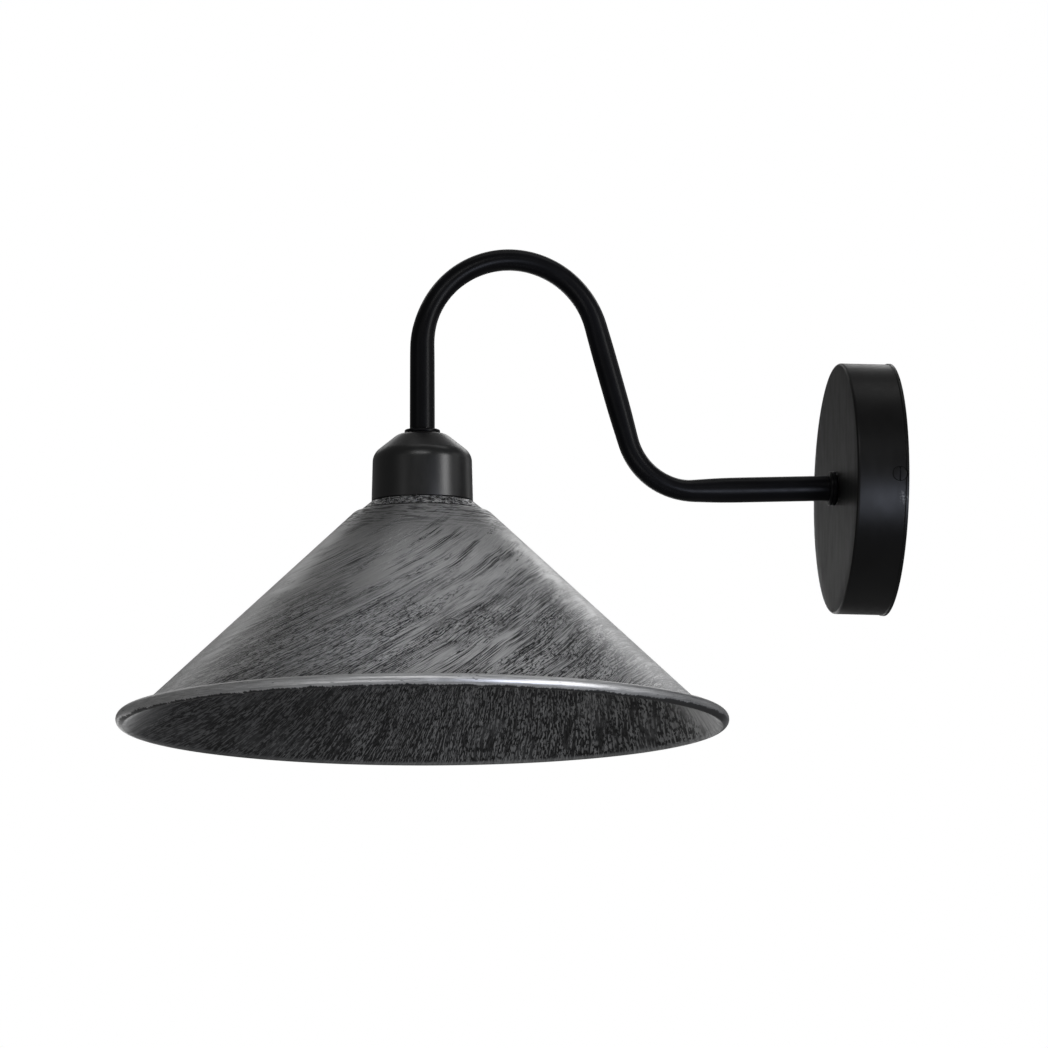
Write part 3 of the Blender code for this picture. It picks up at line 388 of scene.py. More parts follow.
def pale_spot(material, at, size):
    """A faint pale spot painted into a finish, at this place and of this size in mm."""
    g = Graph(None, material)
    away = g.node("ShaderNodeVectorMath", {0: g.place(), 1: metres(*at)}, operation="SUBTRACT").outputs[0]
    away = g.stretched(away, tuple(1 / (side * MM) for side in size))
    away = g.node("ShaderNodeVectorMath", {0: away}, operation="LENGTH").outputs["Value"]
    spot = g.span(away, 0.2, 1.0, 1.0, 0.0)
    broken = g.span(g.noise(g.place(), 900, 3, 0.7), 0.45, 0.65)
    old = g.shader.inputs["Base Color"].links[0].from_socket
    g.set(Base_Color=g.mix(g.times(spot, g.times(broken, 0.8)), old, grey(0.14)))


def plated(name, dark, light, roughness, stain, stain_colour):
    """Plated or plain metal: cloudy, finely drawn, a little stained."""
    g = Graph(name)
    at = g.place()
    cloud = g.noise(at, 120, 4, 0.6)
    drawn = g.noise(g.stretched(at, (2600, 260, 900)), 1, 2)
    colour = g.mix(g.span(cloud, 0.3, 0.7), dark, light)
    patches = g.span(g.noise(at, 300, 3, 0.65, 0.5), 0.52, 0.7, 0, stain)
    colour = g.mix(patches, colour, stain_colour)
    rough = g.span(drawn, 0.3, 0.7, roughness - 0.06, roughness + 0.06)
    rough = g.plus(rough, g.times(patches, 0.25))
    g.set(Base_Color=colour, Metallic=1.0, Roughness=rough, Normal=g.bump(drawn, 0.02 * MM, 0.35))
    return g.material


def moulded(name, dark, light, roughness, coat, grain, subsurface=0.0):
    """Moulded plastic: slight flow marks and a fine grain."""
    g = Graph(name)
    at = g.place()
    flow = g.noise(at, 70, 3, 0.55, 1.2)
    colour = g.mix(g.span(flow, 0.3, 0.7), dark, light)
    fine = g.noise(at, 1600, 2)
    rough = g.span(flow, 0.3, 0.75, roughness - 0.04, roughness + 0.07)
    g.set(Base_Color=colour, Roughness=rough, Normal=g.bump(fine, grain * MM, 0.4))
    g.set(Coat_Weight=coat, Coat_Roughness=0.15, Subsurface_Weight=subsurface, Subsurface_Scale=0.002)
    return g.material


def striped_wire(name, ground, stripe):
    """Earth wire: a stripe twists along the insulation. The mesh carries the turn in an attribute."""
    g = Graph(name)
    twist = g.node("ShaderNodeAttribute", attribute_name="twist").outputs["Fac"]
    band = g.span(g.math("PINGPONG", twist, 1.0), 0.46, 0.54)
    colour = g.mix(band, ground, stripe)
    dull = g.noise(g.place(), 500, 3)
    colour = g.mix(g.span(dull, 0.4, 0.8, 0, 0.25), colour, grey(0.1))
    rough = g.span(dull, 0.3, 0.7, 0.38, 0.52)
    g.set(Base_Color=colour, Roughness=rough, Normal=g.bump(dull, 0.02 * MM, 0.3))
    return g.material


FACING = Vector((0.984, -0.179))  # from the lamp's axis to the front, where the brushing is centred
SHARE_OF_TURN = SPREAD / math.hypot(1, SPREAD)  # that the cone's sheet fills when it is opened flat


def opened_flat(g, back=False):
    """The cone's sheet opened flat about its peak: four measures of a point.

    They are its angle on the flat sheet, the log of its distance from the peak over 0.1 m, its turn about
    the lamp's axis from the front (or the back), and its radius in metres. Straight lines in the first two
    cross the sheet at a constant slope, and equal steps in them are equally long.
    """
    x, y, _ = g.split(g.place())
    y = g.plus(y, REACH * MM)
    toward = g.plus(g.times(x, FACING.x), g.times(y, FACING.y))
    across = g.plus(g.times(x, -FACING.y), g.times(y, FACING.x))
    if back:
        toward, across = g.times(toward, -1.0), g.times(across, -1.0)
    turn = g.math("ARCTAN2", across, toward)
    radius = g.math("SQRT", g.plus(g.times(toward, toward), g.times(across, across)))
    distance = g.most(g.math("DIVIDE", radius, 0.1 * SHARE_OF_TURN), 0.05)
    return g.times(turn, SHARE_OF_TURN), g.math("LOGARITHM", distance, math.e), turn, radius


def strokes(g, along, aside, length, width, seed, low, high, detail=3.0):
    """Marks of about this length and width, in mm at 0.1 m from the peak: 1 in a mark, 0 beside it."""
    at = g.join(g.times(along, 100 / length), g.times(aside, 100 / width), seed)
    return g.span(g.noise(at, 1, detail, 0.6), low, high)


def brushed_sheet(name, marks, ground, dark, roughness, metallic):
    """Silver brushed over black.

    marks(graph, around, down, radius) gives the dark marks, the pale streaks and the painted shade,
    each from 0 to 1. The back has the front's marks again, turned half a turn.
    """
    g = Graph(name)
    around, down, turn, radius = opened_flat(g)
    front = marks(g, around, down, radius)
    rear = marks(g, *opened_flat(g, back=True)[:2], radius)
    share = g.span(g.math("ABSOLUTE", turn), 1.5, 1.8)
    dark_marks = g.blend(share, front[0], rear[0])
    pale = g.blend(share, front[1], rear[1])
    silver = g.mix(pale, ground[0], ground[1])
    # The marks' third output, painted shade, darkens the silver here.
    silver = g.mix(g.blend(share, front[2], rear[2]), silver, dark)
    colour = g.mix(dark_marks, silver, dark)
    rough = g.blend(dark_marks, g.blend(pale, roughness + 0.05, roughness - 0.03), 0.6)
    g.set(Base_Color=colour, Metallic=g.blend(dark_marks, metallic, 0.1), Roughness=rough)
    relief = g.math("SUBTRACT", g.times(pale, 0.15), dark_marks)
    g.set(Normal=g.bump(relief, 0.16 * MM, 1.0), Specular_IOR_Level=0.35)
    return g.material


def scratches(g, around, aside, clusters, crumbs, size, seed):
    """One scale of the outside's brushing: (dark marks, pale streaks)."""
    long_marks = strokes(g, around, aside, 19 / size, 0.52 / size, seed, 0.525, 0.545)
    hair = strokes(g, around, aside, 26 / size, 0.5 / size, seed + 7, 0.565, 0.595, detail=2)
    grain = strokes(g, around, aside, 2.0 / size, 0.7 / size, seed + 13, 0.525, 0.565)
    pale = strokes(g, around, aside, 20 / size, 0.7 / size, seed + 19, 0.3, 0.7)
    faint = strokes(g, around, aside, 7 / size, 0.3 / size, seed + 29, 0.45, 0.62)
    marks = g.times(g.most(long_marks, g.times(hair, 0.7)), clusters)
    marks = g.most(marks, g.times(grain, crumbs))
    return g.most(marks, g.times(faint, 0.34)), pale


def step_marks(g, around, radius):
    """The pressed step: its own marks, whether a point is on it, and painted shade in the crease at its foot.
    """
    height = g.times(g.split(g.place())[2], 1000.0)
    ragged = g.noise(g.join(g.times(around, 40.0), height, 5.1), 1, 3, 0.7)
    height = g.times_plus(ragged, 1.6, height)
    at = g.join(g.times(around, 14.0), g.times(height, 2.2), 7.7)
    marks = g.span(g.noise(at, 1, 3, 0.7), 0.46, 0.49)
    on_step = g.span(radius, 0.0305, 0.0315, 1, 0)
    # Painted shade: a dark ring along the foot of the step, broken up by noise.
    crease = g.span(g.math("ABSOLUTE", g.math("SUBTRACT", radius, 0.0298)), 0.0003, 0.0009, 1, 0)
    return marks, on_step, g.times(crease, g.span(ragged, 0.3, 0.42))


def outside_marks(g, around, down, radius):
    """Long slanting scratches in clusters, crumbling lower down, rings at the pressed step, and painted
    shade.
    """
    bent = g.times_plus(g.times(around, around), -0.357, 1.0)
    aside = g.times_plus(around, bent, down)
    aside = g.times_plus(g.noise(g.join(around, down, 4.4), 3.0, 2), 0.05, aside)
    lower = g.span(radius, 0.045, 0.105)
    patchy = g.noise(g.join(g.times(around, 3.2), g.times(aside, 9.0), 3.1), 1, 3, 0.6)
    crumbling = g.noise(g.join(g.times(around, 4.0), g.times(aside, 12.0), 8.3), 1, 3, 0.6)
    clusters = g.span(g.times_plus(lower, 0.16, patchy), 0.48, 0.62, 0.25, 1.0)
    crumbs = g.span(g.times_plus(lower, 0.2, crumbling), 0.58, 0.7)
    upper_marks, upper_pale = scratches(g, around, aside, clusters, crumbs, 0.8, 51.7)
    lower_marks, lower_pale = scratches(g, around, aside, clusters, crumbs, 1.5, 1.3)
    change = g.span(radius, 0.06, 0.1)
    turned = g.math("ABSOLUTE", around)
    plain = g.plus(g.span(turned, 0.5, 0.85, 1.0, 0.33), g.span(turned, 1.03, 1.12, 0.0, 0.5))
    marks = g.times(g.blend(change, upper_marks, lower_marks), plain)
    ring_at = g.join(g.times(around, 5.0), g.times(radius, 1300.0), 6.2)
    ring_marks = g.span(g.noise(ring_at, 1, 3, 0.6), 0.5, 0.56)
    near_top = g.span(radius, 0.036, 0.05, 1, 0)
    marks = g.blend(g.times(near_top, 0.75), marks, ring_marks)
    own_marks, on_step, crease = step_marks(g, around, radius)
    marks = g.most(g.blend(on_step, marks, own_marks), crease)
    # Painted shade just below the step, where the cap's shadow falls.
    painted_shade = g.times(g.span(radius, 0.032, 0.034), g.span(radius, 0.034, 0.075, 0.45, 0.0))
    # Painted shade: a darker band to one side of the front.
    beside = g.times(g.span(around, -0.8, -0.6), g.span(around, -0.35, -0.1, 0.2, 0.0))
    return marks, g.blend(change, upper_pale, lower_pale), g.plus(painted_shade, beside)


def inside_marks(g, around, down, radius):
    """Dense short dark flecks along strokes that are steep at the back and slant away to both sides, and
    painted shade towards one side.
    """
    bent = g.times(g.math("ARCTANGENT", g.times(around, 1.98)), 0.505)
    aside = g.times_plus(down, -0.28, bent)
    aside = g.times_plus(g.noise(g.join(around, down, 9.4), 4.0, 2), 0.03, aside)
    patchy = g.noise(g.join(g.times(down, 9.0), g.times(aside, 14.0), 13.1), 1, 4, 0.7)
    thick = g.span(patchy, 0.34, 0.5, 0.75, 1.0)
    steep = strokes(g, down, aside, 8, 0.38, 21.3, 0.515, 0.545)
    flecks = strokes(g, down, aside, 1.6, 0.34, 25.9, 0.5, 0.53)
    marks = g.times(g.most(g.times(steep, 0.9), flecks), thick)
    pale = strokes(g, down, aside, 9, 0.4, 32.2, 0.35, 0.65)
    plain = g.span(g.math("ABSOLUTE", around), 0.85, 1.02, 1.0, 0.15)
    plain = g.times(plain, g.span(radius, 0.1405, 0.142, 1.0, 0.1))
    # Painted shade: darker towards one side of the inside, broken up by the patches.
    painted_shade = g.span(g.times_plus(patchy, 0.5, around), 0.1, 0.75, 0.0, 0.55)
    return g.times(marks, plain), pale, painted_shade


def bead_sheet(name):
    """The rolled rim: drawn silver and a few nicks, with painted shade as a ragged dark line along the
    underside of the bead's front half.
    """
    bead_down = 116.06  # of the bead's middle below the origin, in mm
    rim = 146.0  # radius at which the bead is measured round, in mm
    g = Graph(name)
    _, _, turn, radius = opened_flat(g)
    low = g.times_plus(g.split(g.place())[2], 1000.0, bead_down)
    along = g.times(turn, rim)
    section = g.times(radius, 1000.0)
    drawn = g.noise(g.join(g.times(along, 0.12), g.times(low, 2.2), g.times(section, 2.2)), 1, 3)
    nicks = g.span(g.noise(g.join(g.times(along, 0.2), low, section), 0.7, 3, 0.7), 0.66, 0.72)
    ragged = g.noise(g.join(g.times(along, 0.5), 0.0, 3.0), 1, 4, 0.75)
    spells = g.noise(g.join(g.times(along, 0.06), 0.0, 5.0), 1, 2)
    # Painted shade: a ragged dark line under the bead on its front half, reaching higher towards one side.
    edge = g.times_plus(ragged, 3.0, g.times_plus(spells, 3.0, -5.4))
    edge = g.times_plus(g.span(turn, 0.5, 1.3), 1.2, edge)
    under = g.span(g.math("SUBTRACT", low, edge), -0.25, 0.25, 1, 0)
    near = g.span(g.math("COSINE", turn), -0.1, 0.2)
    dark = g.most(g.times(under, near), nicks)
    fine = g.noise(g.join(along, g.times(low, 1.6), g.times(section, 1.6)), 1, 4, 0.7)
    # Darker towards one side: partly painted shade, partly fine wear.
    wear_and_painted_shade = g.times_plus(g.span(turn, 0.5, 1.2), 0.5, g.span(fine, 0.5, 0.74, 0.0, 0.3))
    colour = g.mix(g.span(drawn, 0.3, 0.7), grey(0.38), grey(0.56))
    colour = g.mix(dark, g.mix(wear_and_painted_shade, colour, grey(0.03)), grey(0.012))
    rough = g.blend(dark, g.span(drawn, 0.3, 0.7, 0.36, 0.46), 0.6)
    g.set(Base_Color=colour, Metallic=g.blend(dark, 0.75, 0.1), Roughness=rough)
    g.set(Normal=g.bump(drawn, 0.03 * MM, 0.4))
    return g.material


def floor_material():
    """Pale, and lit from within enough to look white from above."""
    g = Graph("pale floor")
    cloud = g.noise(g.place(), 3, 3)
    g.set(Base_Color=g.mix(cloud, grey(0.8), grey(0.84)), Roughness=g.span(cloud, 0.3, 0.7, 0.85, 0.95))
    g.set(Emission_Color=(1, 1, 1, 1), Emission_Strength=0.5)
    return g.material


# After the dark and the light colour come, for enamel: roughness, peel in mm, specular;
# for plated: roughness, stain and its colour; and for moulded: roughness, coat, grain in mm, subsurface.
BLACK = enamel("black enamel", (0.0025, 0.0025, 0.003), (0.004, 0.004, 0.005), 0.33, 0.004, 0.09)
ROSE_BLACK = enamel("rose enamel", (0.003, 0.0029, 0.0028), (0.004, 0.0039, 0.0038), 0.36, 0.006, 0.15)
# A faint pale spot on the rose's side, below the right side screw.
pale_spot(ROSE_BLACK, (60, -2.6, -11.5), (4, 3, 5))
SATIN = enamel("satin black", grey(0.004), grey(0.006), 0.33, 0.01, 0.5)
ZINC = plated("dull zinc", (0.24, 0.25, 0.26), (0.34, 0.35, 0.36), 0.56, 0.35, (0.26, 0.24, 0.2))
NUT_ZINC = plated("zinc on nuts", (0.36, 0.37, 0.4), (0.55, 0.56, 0.6), 0.26, 0.3, (0.4, 0.36, 0.28))
BRASS = plated("plain brass", (0.52, 0.36, 0.13), (0.7, 0.52, 0.24), 0.26, 0.55, (0.26, 0.17, 0.07))
SHELL_BRASS = plated("rolled brass", (0.5, 0.37, 0.16), (0.68, 0.53, 0.27), 0.2, 0.3, (0.28, 0.2, 0.1))
BAKELITE = moulded("bakelite", (0.008, 0.007, 0.006), (0.02, 0.015, 0.012), 0.3, 0.3, 0.01)
CERAMIC = moulded("steatite", (0.62, 0.6, 0.54), (0.74, 0.72, 0.67), 0.45, 0.15, 0.05, 0.1)
NYLON = moulded("polyamide", (0.62, 0.61, 0.56), (0.72, 0.71, 0.67), 0.42, 0.0, 0.02, 0.25)
BROWN = moulded("brown insulation", (0.1, 0.04, 0.02), (0.15, 0.065, 0.03), 0.42, 0.0, 0.02)
BLUE = moulded("blue insulation", (0.02, 0.09, 0.3), (0.04, 0.14, 0.4), 0.42, 0.0, 0.02)
EARTH = striped_wire("earth insulation", (0.05, 0.26, 0.03), (0.72, 0.62, 0.05))
OUTSIDE = brushed_sheet("brushed outside", outside_marks, (grey(0.46), grey(0.52)), grey(0.006), 0.34, 0.8)
INSIDE = brushed_sheet("brushed inside", inside_marks, (grey(0.2), grey(0.33)), grey(0.003), 0.42, 0.6)
BEAD = bead_sheet("brushed rim")


def dress(obj, body, slot, *materials):
    """Gives a new piece its materials and its body, and hides the CAD node that it is named after."""
    obj.data.materials.clear()
    for material in materials:
        obj.data.materials.append(material)
    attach(obj, body)
    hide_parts(obj.name.removesuffix("_piece"))


# ---------------------------------------------------------------- rose end


def rose():
    hole, lip = NIPPLE_RADIUS + GAP, ROSE_RADIUS + 0.4
    inside, under = ROSE_RADIUS - ROSE_SHEET, ROSE_DEPTH - ROSE_SHEET
    outline = rounded([
        (hole, ROSE_DEPTH), (ROSE_RADIUS, ROSE_DEPTH, 1.4), (ROSE_RADIUS, 1.7, 0.3), (lip, 1.3, 0.2),
        (lip, 0, 0.15), (inside, 0), (inside, under, 0.6), (hole, under),
    ])
    piece = spun("wall_rose_piece", lengthened(outline, 8), OUT_FROM_WALL, segments=256)
    countersink = [(0, 2), (4.3, 2), (3.7, 0), (2.3, -1.4), (2.3, -3), (0, -3)]
    for side in (-1, 1):
        cut_away(piece, spun("cutter", countersink, side_place(side), segments=48, solid=True))
    dress(piece, "fitting", "black_enamel", ROSE_BLACK)


def side_place(side):
    """On the rose's side wall, with +Z pointing out of it."""
    turn = Matrix.Rotation(side * math.pi / 2, 4, "Y")
    return Matrix.Translation((side * ROSE_RADIUS * MM, -SIDE_SCREW_OUT * MM, 0)) @ turn


def side_screws():
    outline = [(0, -0.1), (3.3, -0.1, 0.15), (3.4, -0.3), (1.8, -1.7), (1.8, -6.5), (1.3, -7), (0, -7)]
    for side, name in ((-1, "left"), (1, "right")):
        place = side_place(side)
        piece = screw(f"side_screw_{name}_piece", place, outline, slot_half=0.4, slot_depth=0.7, slot_reach=4)
        dress(piece, "fitting", "black_enamel", ROSE_BLACK)


def collar():
    bore, radius, groove, length = 6.3, 8.25, 7.9, 3.4
    outline = rounded([
        (bore, 0), (radius, 0, 0.5), (radius, 1.45, 0.1), (groove, 1.7, 0.15), (radius, 1.95, 0.1),
        (radius, length, 0.9), (bore, length),
    ])
    piece = spun("arm_collar_piece", outline, along_wall_normal(ROSE_DEPTH + GAP), segments=96)
    dress(piece, "fitting", "black_enamel", BLACK)


def helix(height, turn, pitch):
    """0 at a thread's crest, 1 at its root."""
    return 0.5 - 0.5 * np.cos(TURN * (height / pitch - turn / TURN))


def threaded(pitch, depth, low, high, keep_inside):
    """A ripple that cuts a helical thread into radii above keep_inside, fading out at both ends."""

    def ripple(radius, height, turn):
        fade = np.clip((height - low) / pitch, 0, 1) * np.clip((high - height) / pitch, 0, 1)
        return radius - np.where(radius > keep_inside, depth * helix(height, turn, pitch) * fade, 0)

    return ripple


def nipple(name, place, length, thread_low, thread_high):
    outline = [(NIPPLE_RADIUS, z) for z in np.arange(0, length, 0.16)]
    outline += [(NIPPLE_RADIUS, length), (NIPPLE_BORE, length), (NIPPLE_BORE, 0)]
    ripple = threaded(1.0, 0.32, thread_low, thread_high, keep_inside=4.5)
    piece = spun(f"{name}_piece", outline, place, segments=40, ripple=ripple, sharp=50)
    dress(piece, "fitting", "zinc_steel", NUT_ZINC)


def rose_inside():
    nipple("rose_nipple", along_wall_normal(15.5), 21.5, -0.5, 9.2)
    tag_top = STRAP + GAP + TAG
    place = along_wall_normal(tag_top + GAP, 18, 4)
    piece = cheese_head("earth_screw_piece", place, 3.6, 2.4, 1.8, tag_top)
    dress(piece, "fitting", "brass", BRASS)
    insert_top = POLE_OUT + 2.5
    for side, line in ((-1, "live"), (1, "neutral")):
        for number, z in ((1, -21.5), (2, -28.5)):
            place = along_wall_normal(insert_top + GAP, side * POLE_ASIDE, z)
            piece = cheese_head(f"{line}_clamp_screw_{number}_piece", place, 1.8, 1.6, 1.1, 1.3)
            dress(piece, "fitting", "zinc_steel", NUT_ZINC)
    block_top = STRAP + GAP + BLOCK_DEPTH
    place = along_wall_normal(block_top + GAP, 0, -25)
    piece = cheese_head("block_fixing_screw_piece", place, 2.7, 1.8, 1.4, block_top)
    dress(piece, "fitting", "zinc_steel", NUT_ZINC)


# ---------------------------------------------------------------- arm


def arm():
    """A tube that grows lower and wider where its bends flatten it."""
    sides, radius, sheet, lower, wider = 48, 6, 1.0, 1.05, 0.3
    outer, inner = [], []
    for station in arm_stations():
        tall, wide = radius - lower * station[3], radius + wider * station[3]
        for rings, wall in ((outer, 0.0), (inner, sheet)):
            rings.append([
                beside_arm(station, (wide - wall) * math.cos(a), (tall - wall) * math.sin(a))
                for a in (TURN * i / sides for i in range(sides))
            ])
    rings = outer + inner[::-1]
    verts = [point for ring in rings for point in ring]
    piece = mesh_piece("swan_neck_arm_piece", verts, grid_faces(len(rings), sides, True), Matrix())
    dress(piece, "fitting", "black_enamel", BLACK)


# ---------------------------------------------------------------- cap and holder


def cap():
    """The cap, the washer on it, and the nipple through both."""
    bore, top = NIPPLE_RADIUS + GAP, 21.8
    outline = rounded([
        (bore, top), (11.1, top, 8), (23.7, 11.8, 8), (24.3, -10.8, 0.25), (23.1, -10.8), (22.5, 8.5, 2),
        (20.1, 12.6, 2), (9, 20.6, 2), (bore, 20.6),
    ], steps=14)
    piece = spun("lampholder_cap_piece", lengthened(outline, 6), segments=192)
    dress(piece, "fitting", "satin_black", SATIN)
    low, high = top + GAP, ARM_END - GAP
    outline = rounded([(bore, low), (8.5, low, 0.3), (8.5, high, 0.8), (bore, high)])
    piece = spun("cap_washer_piece", outline, segments=96)
    dress(piece, "fitting", "satin_black", BLACK)
    nipple("cap_nipple", LAMP_AXIS @ Matrix.Translation((0, 0, 5.5 * MM)), 30.5, -0.5, 16.0)


def holder():
    """The dome with its locking screw, and the terminal screws in the core below."""
    bore, neck, side_wall, inside = NIPPLE_RADIUS + GAP, 8, 19.8, 17.6
    outline = rounded([
        (bore, 15.5), (neck, 15.5, 1), (neck, 8.5, 2), (side_wall, 1.5, 5), (side_wall, -6, 0.5),
        (inside, -6), (inside, 0, 3), (9, 6.5), (bore, 6.5),
    ])
    dome = spun("holder_dome_piece", lengthened(outline, 4), segments=96)
    place = Matrix.Translation((7.4 * MM, -REACH * MM, 11.5 * MM)) @ Matrix.Rotation(math.pi / 2, 4, "Y")
    cut_away(dome, spun("cutter", [(0, 3), (1.8, 3), (1.8, -7), (0, -7)], place, segments=32, solid=True))
    dress(dome, "fitting", "bakelite", BAKELITE)
    outline = [(0, 0), (1.5, 0, 0.15), (1.5, -1.6), (0.9, -2.3), (0, -2.3)]
    piece = screw("dome_locking_screw_piece", place, outline, slot_half=0.25, slot_depth=0.7, slot_reach=3)
    dress(piece, "fitting", "zinc_steel", NUT_ZINC)
    for side, line in ((-1, "live"), (1, "neutral")):
        place = along_wall_normal(REACH + 4 + GAP, side * TERMINAL_ASIDE, -4.7)
        piece = cheese_head(f"{line}_terminal_screw_piece", place, 1.9, 1.4, 1.0, 2.8)
        dress(piece, "fitting", "brass", BRASS)


def skirt():
    """Its threads run round it as one helix, and its rim is rounded."""
    side, bore, rim = SKIRT_RADIUS, 14.3, -40.5
    outline = [(16.3, -3.0), (17.1, -3.0), (17.1, -6.3), (side, -6.3), (side, -12.0)]
    outline += [(side, z) for z in np.arange(-17.0, -38.5, -0.3)]
    outline += fillet((side, -38.4), (side, rim), (bore, rim), 0.8, 8)
    outline += fillet((side, rim), (bore, rim), (bore, -38.0), 0.3, 4)
    outline += [(bore, -37.8), (15.4, -37.8), (15.4, -14.8), (16.3, -14.8)]
    ripple = threaded(3.0, 0.5, -37.3, -21.8, keep_inside=19)
    piece = spun("holder_skirt_piece", outline, segments=120, ripple=ripple)
    dress(piece, "fitting", "bakelite", BAKELITE)


def shell():
    """A rolled thread in thin brass: inside and outside wave together."""
    wall, depth, pitch, middle = 0.5, 0.45, 3.62, 13.9
    bore, lip, hole = middle - wall, 14.9, 11.6
    heights = np.arange(-36.5, -18.6, 0.3)
    outer = [(middle + depth, z) for z in heights] + [(middle, -17.5)]
    inner = [(r - wall, z) for r, z in outer[-2::-1]]
    outline = [(bore, -37.5), (lip, -37.5), (lip, -37.0), *outer]
    outline += [(hole, -17.5), (hole, -18.0), (bore, -18.0), *inner]

    def ripple(radius, height, turn):
        threads = (height > -36.6) & (height < -18.5)
        return radius - np.where(threads, 2 * depth * helix(height, turn, pitch), 0)

    piece = spun("screw_shell_piece", outline, segments=96, ripple=ripple, sharp=55)
    dress(piece, "fitting", "brass", SHELL_BRASS)


def ring():
    """The shade ring: a smooth flange over twelve rounded grips."""
    top, low = -12.2, -21.2
    bore, flange, body, under = SKIRT_RADIUS + 1.2 * GAP, 23, 21.6, top - 2
    outline = [(bore, top)] + fillet((bore, top), (flange, top), (flange, under), 0.4, 6)
    outline += fillet((flange, top), (flange, under), (body, under), 0.4, 6) + [(body, under)]
    outline += [(body, z) for z in np.arange(top - 2.2, low + 0.5, -0.35)]
    outline += fillet((body, low + 1), (body, low), (bore, low), 0.4, 6) + [(bore, low)]

    def ripple(radius, height, turn):
        rib = np.clip(1.6 * np.cos(12 * turn - math.pi) - 0.5, 0, 1)
        reach = np.clip((height - low - 0.7) / 0.4, 0, 1) * np.clip((top - 2.1 - height) / 0.1, 0, 1)
        return radius + np.where(abs(radius - body) < 0.1, 0.9 * rib * reach, 0)

    piece = spun("shade_ring_piece", outline, segments=240, ripple=ripple)
    dress(piece, "shade_ring", "bakelite", BAKELITE)


# ---------------------------------------------------------------- shade


def shade():
    """A cone of thin sheet with a pressed step above it and a bead rolled outwards at its rim."""
    sheet, bead_radius, rim = 0.8, 3.2, 146.9
    hole, neck, step, cone = 20.6, 24.2, 29.5, 32  # radii down the outside, to where the cone starts
    top, foot = -11.1, -15.9  # heights of the step's two ends
    slope = math.atan(SPREAD)
    lift = bead_radius - sheet
    bead_at = rim - bead_radius
    bead_z = foot - (bead_at - cone - lift / math.cos(slope)) / SPREAD
    end = slope - math.pi
    start = end + TURN - math.acos(lift / bead_radius)
    over, below = 26, 14  # steps round the bead: from the cone to its outermost point, and on to its lowest
    tolerance = 0.1  # of a face's distance from the bead's middle
    angles = [start * (1 - i / over) for i in range(over)]
    angles += [-math.pi / 2 * i / below for i in range(below + 1)] + [end]
    bead = [(bead_at + bead_radius * math.cos(a), bead_z + bead_radius * math.sin(a)) for a in angles]
    outside = rounded([
        (hole, top), (neck, top, 1.6), (step, foot + 0.5, 0.6), (step, foot), (cone, foot, 5), bead[0],
    ])
    shift = sheet * math.tan(slope / 2)
    inside = rounded([
        bead[-1], (cone - shift, foot - sheet, 4), (step - 1.2 * sheet, foot - sheet, 0.8),
        (neck - sheet, top - sheet, 0.8), (hole, top - sheet),
    ])
    piece = spun("shade_piece", outside[:-1] + bead + inside[1:], segments=256, sharp=50)
    dress(piece, "fitting", "brushed_silver", OUTSIDE, INSIDE, BEAD)
    for polygon in piece.data.polygons:
        x, y, z = polygon.center / MM
        radius = math.hypot(x, y + REACH)
        on_bead = abs(math.hypot(radius - bead_at, z - bead_z) - bead_radius) < tolerance
        outward = Vector((x, y + REACH, 0)).normalized() + Vector((0, 0, 1))
        facing_out = polygon.normal.dot(outward) > 0
        bead_side = on_bead and (radius > bead_at or facing_out)
        polygon.material_index = 2 if bead_side else 0 if facing_out else 1


# ---------------------------------------------------------------- wires


def eased(start, start_way, end, end_way, steps):
    """A smooth curve's points, without its start. The ways are its speeds at both ends."""
    points = []
    for i in range(1, steps + 1):
        t = i / steps
        points.append(
            start * (2 * t**3 - 3 * t**2 + 1) + start_way * (t**3 - 2 * t**2 + t)
            + end * (3 * t**2 - 2 * t**3) + end_way * (t**3 - t**2)
        )
    return points


def wire(name, points, slot, material):
    """A round wire through the points, with a running twist for its stripe."""
    radius, sides, twist_rate = 1.1 * MM, 20, 60  # the twist in half turns for each metre
    travelled, stations = 0.0, []
    side = Vector((0.5, 1, 0.3))  # along no wire's start
    for i, point in enumerate(points):
        before, after = points[max(i - 1, 0)], points[min(i + 1, len(points) - 1)]
        along = (after - before).normalized()
        side = (side - along * side.dot(along)).normalized()
        travelled += (point - before).length
        stations.append((point, along.cross(side), side.copy(), travelled))
    angles = [TURN * i / sides for i in range(sides)]
    piece = swept(f"{name}_piece", [
        [point + (across * math.cos(a) + side * math.sin(a)) * radius for a in angles]
        for point, across, side, _ in stations
    ])
    twist = piece.data.attributes.new("twist", "FLOAT", "POINT")
    values = [
        (i % sides) / sides * 2 + stations[min(i // sides, len(stations) - 1)][3] * twist_rate
        for i in range(len(piece.data.vertices))
    ]
    twist.data.foreach_set("value", values)
    dress(piece, "fitting", slot, material)


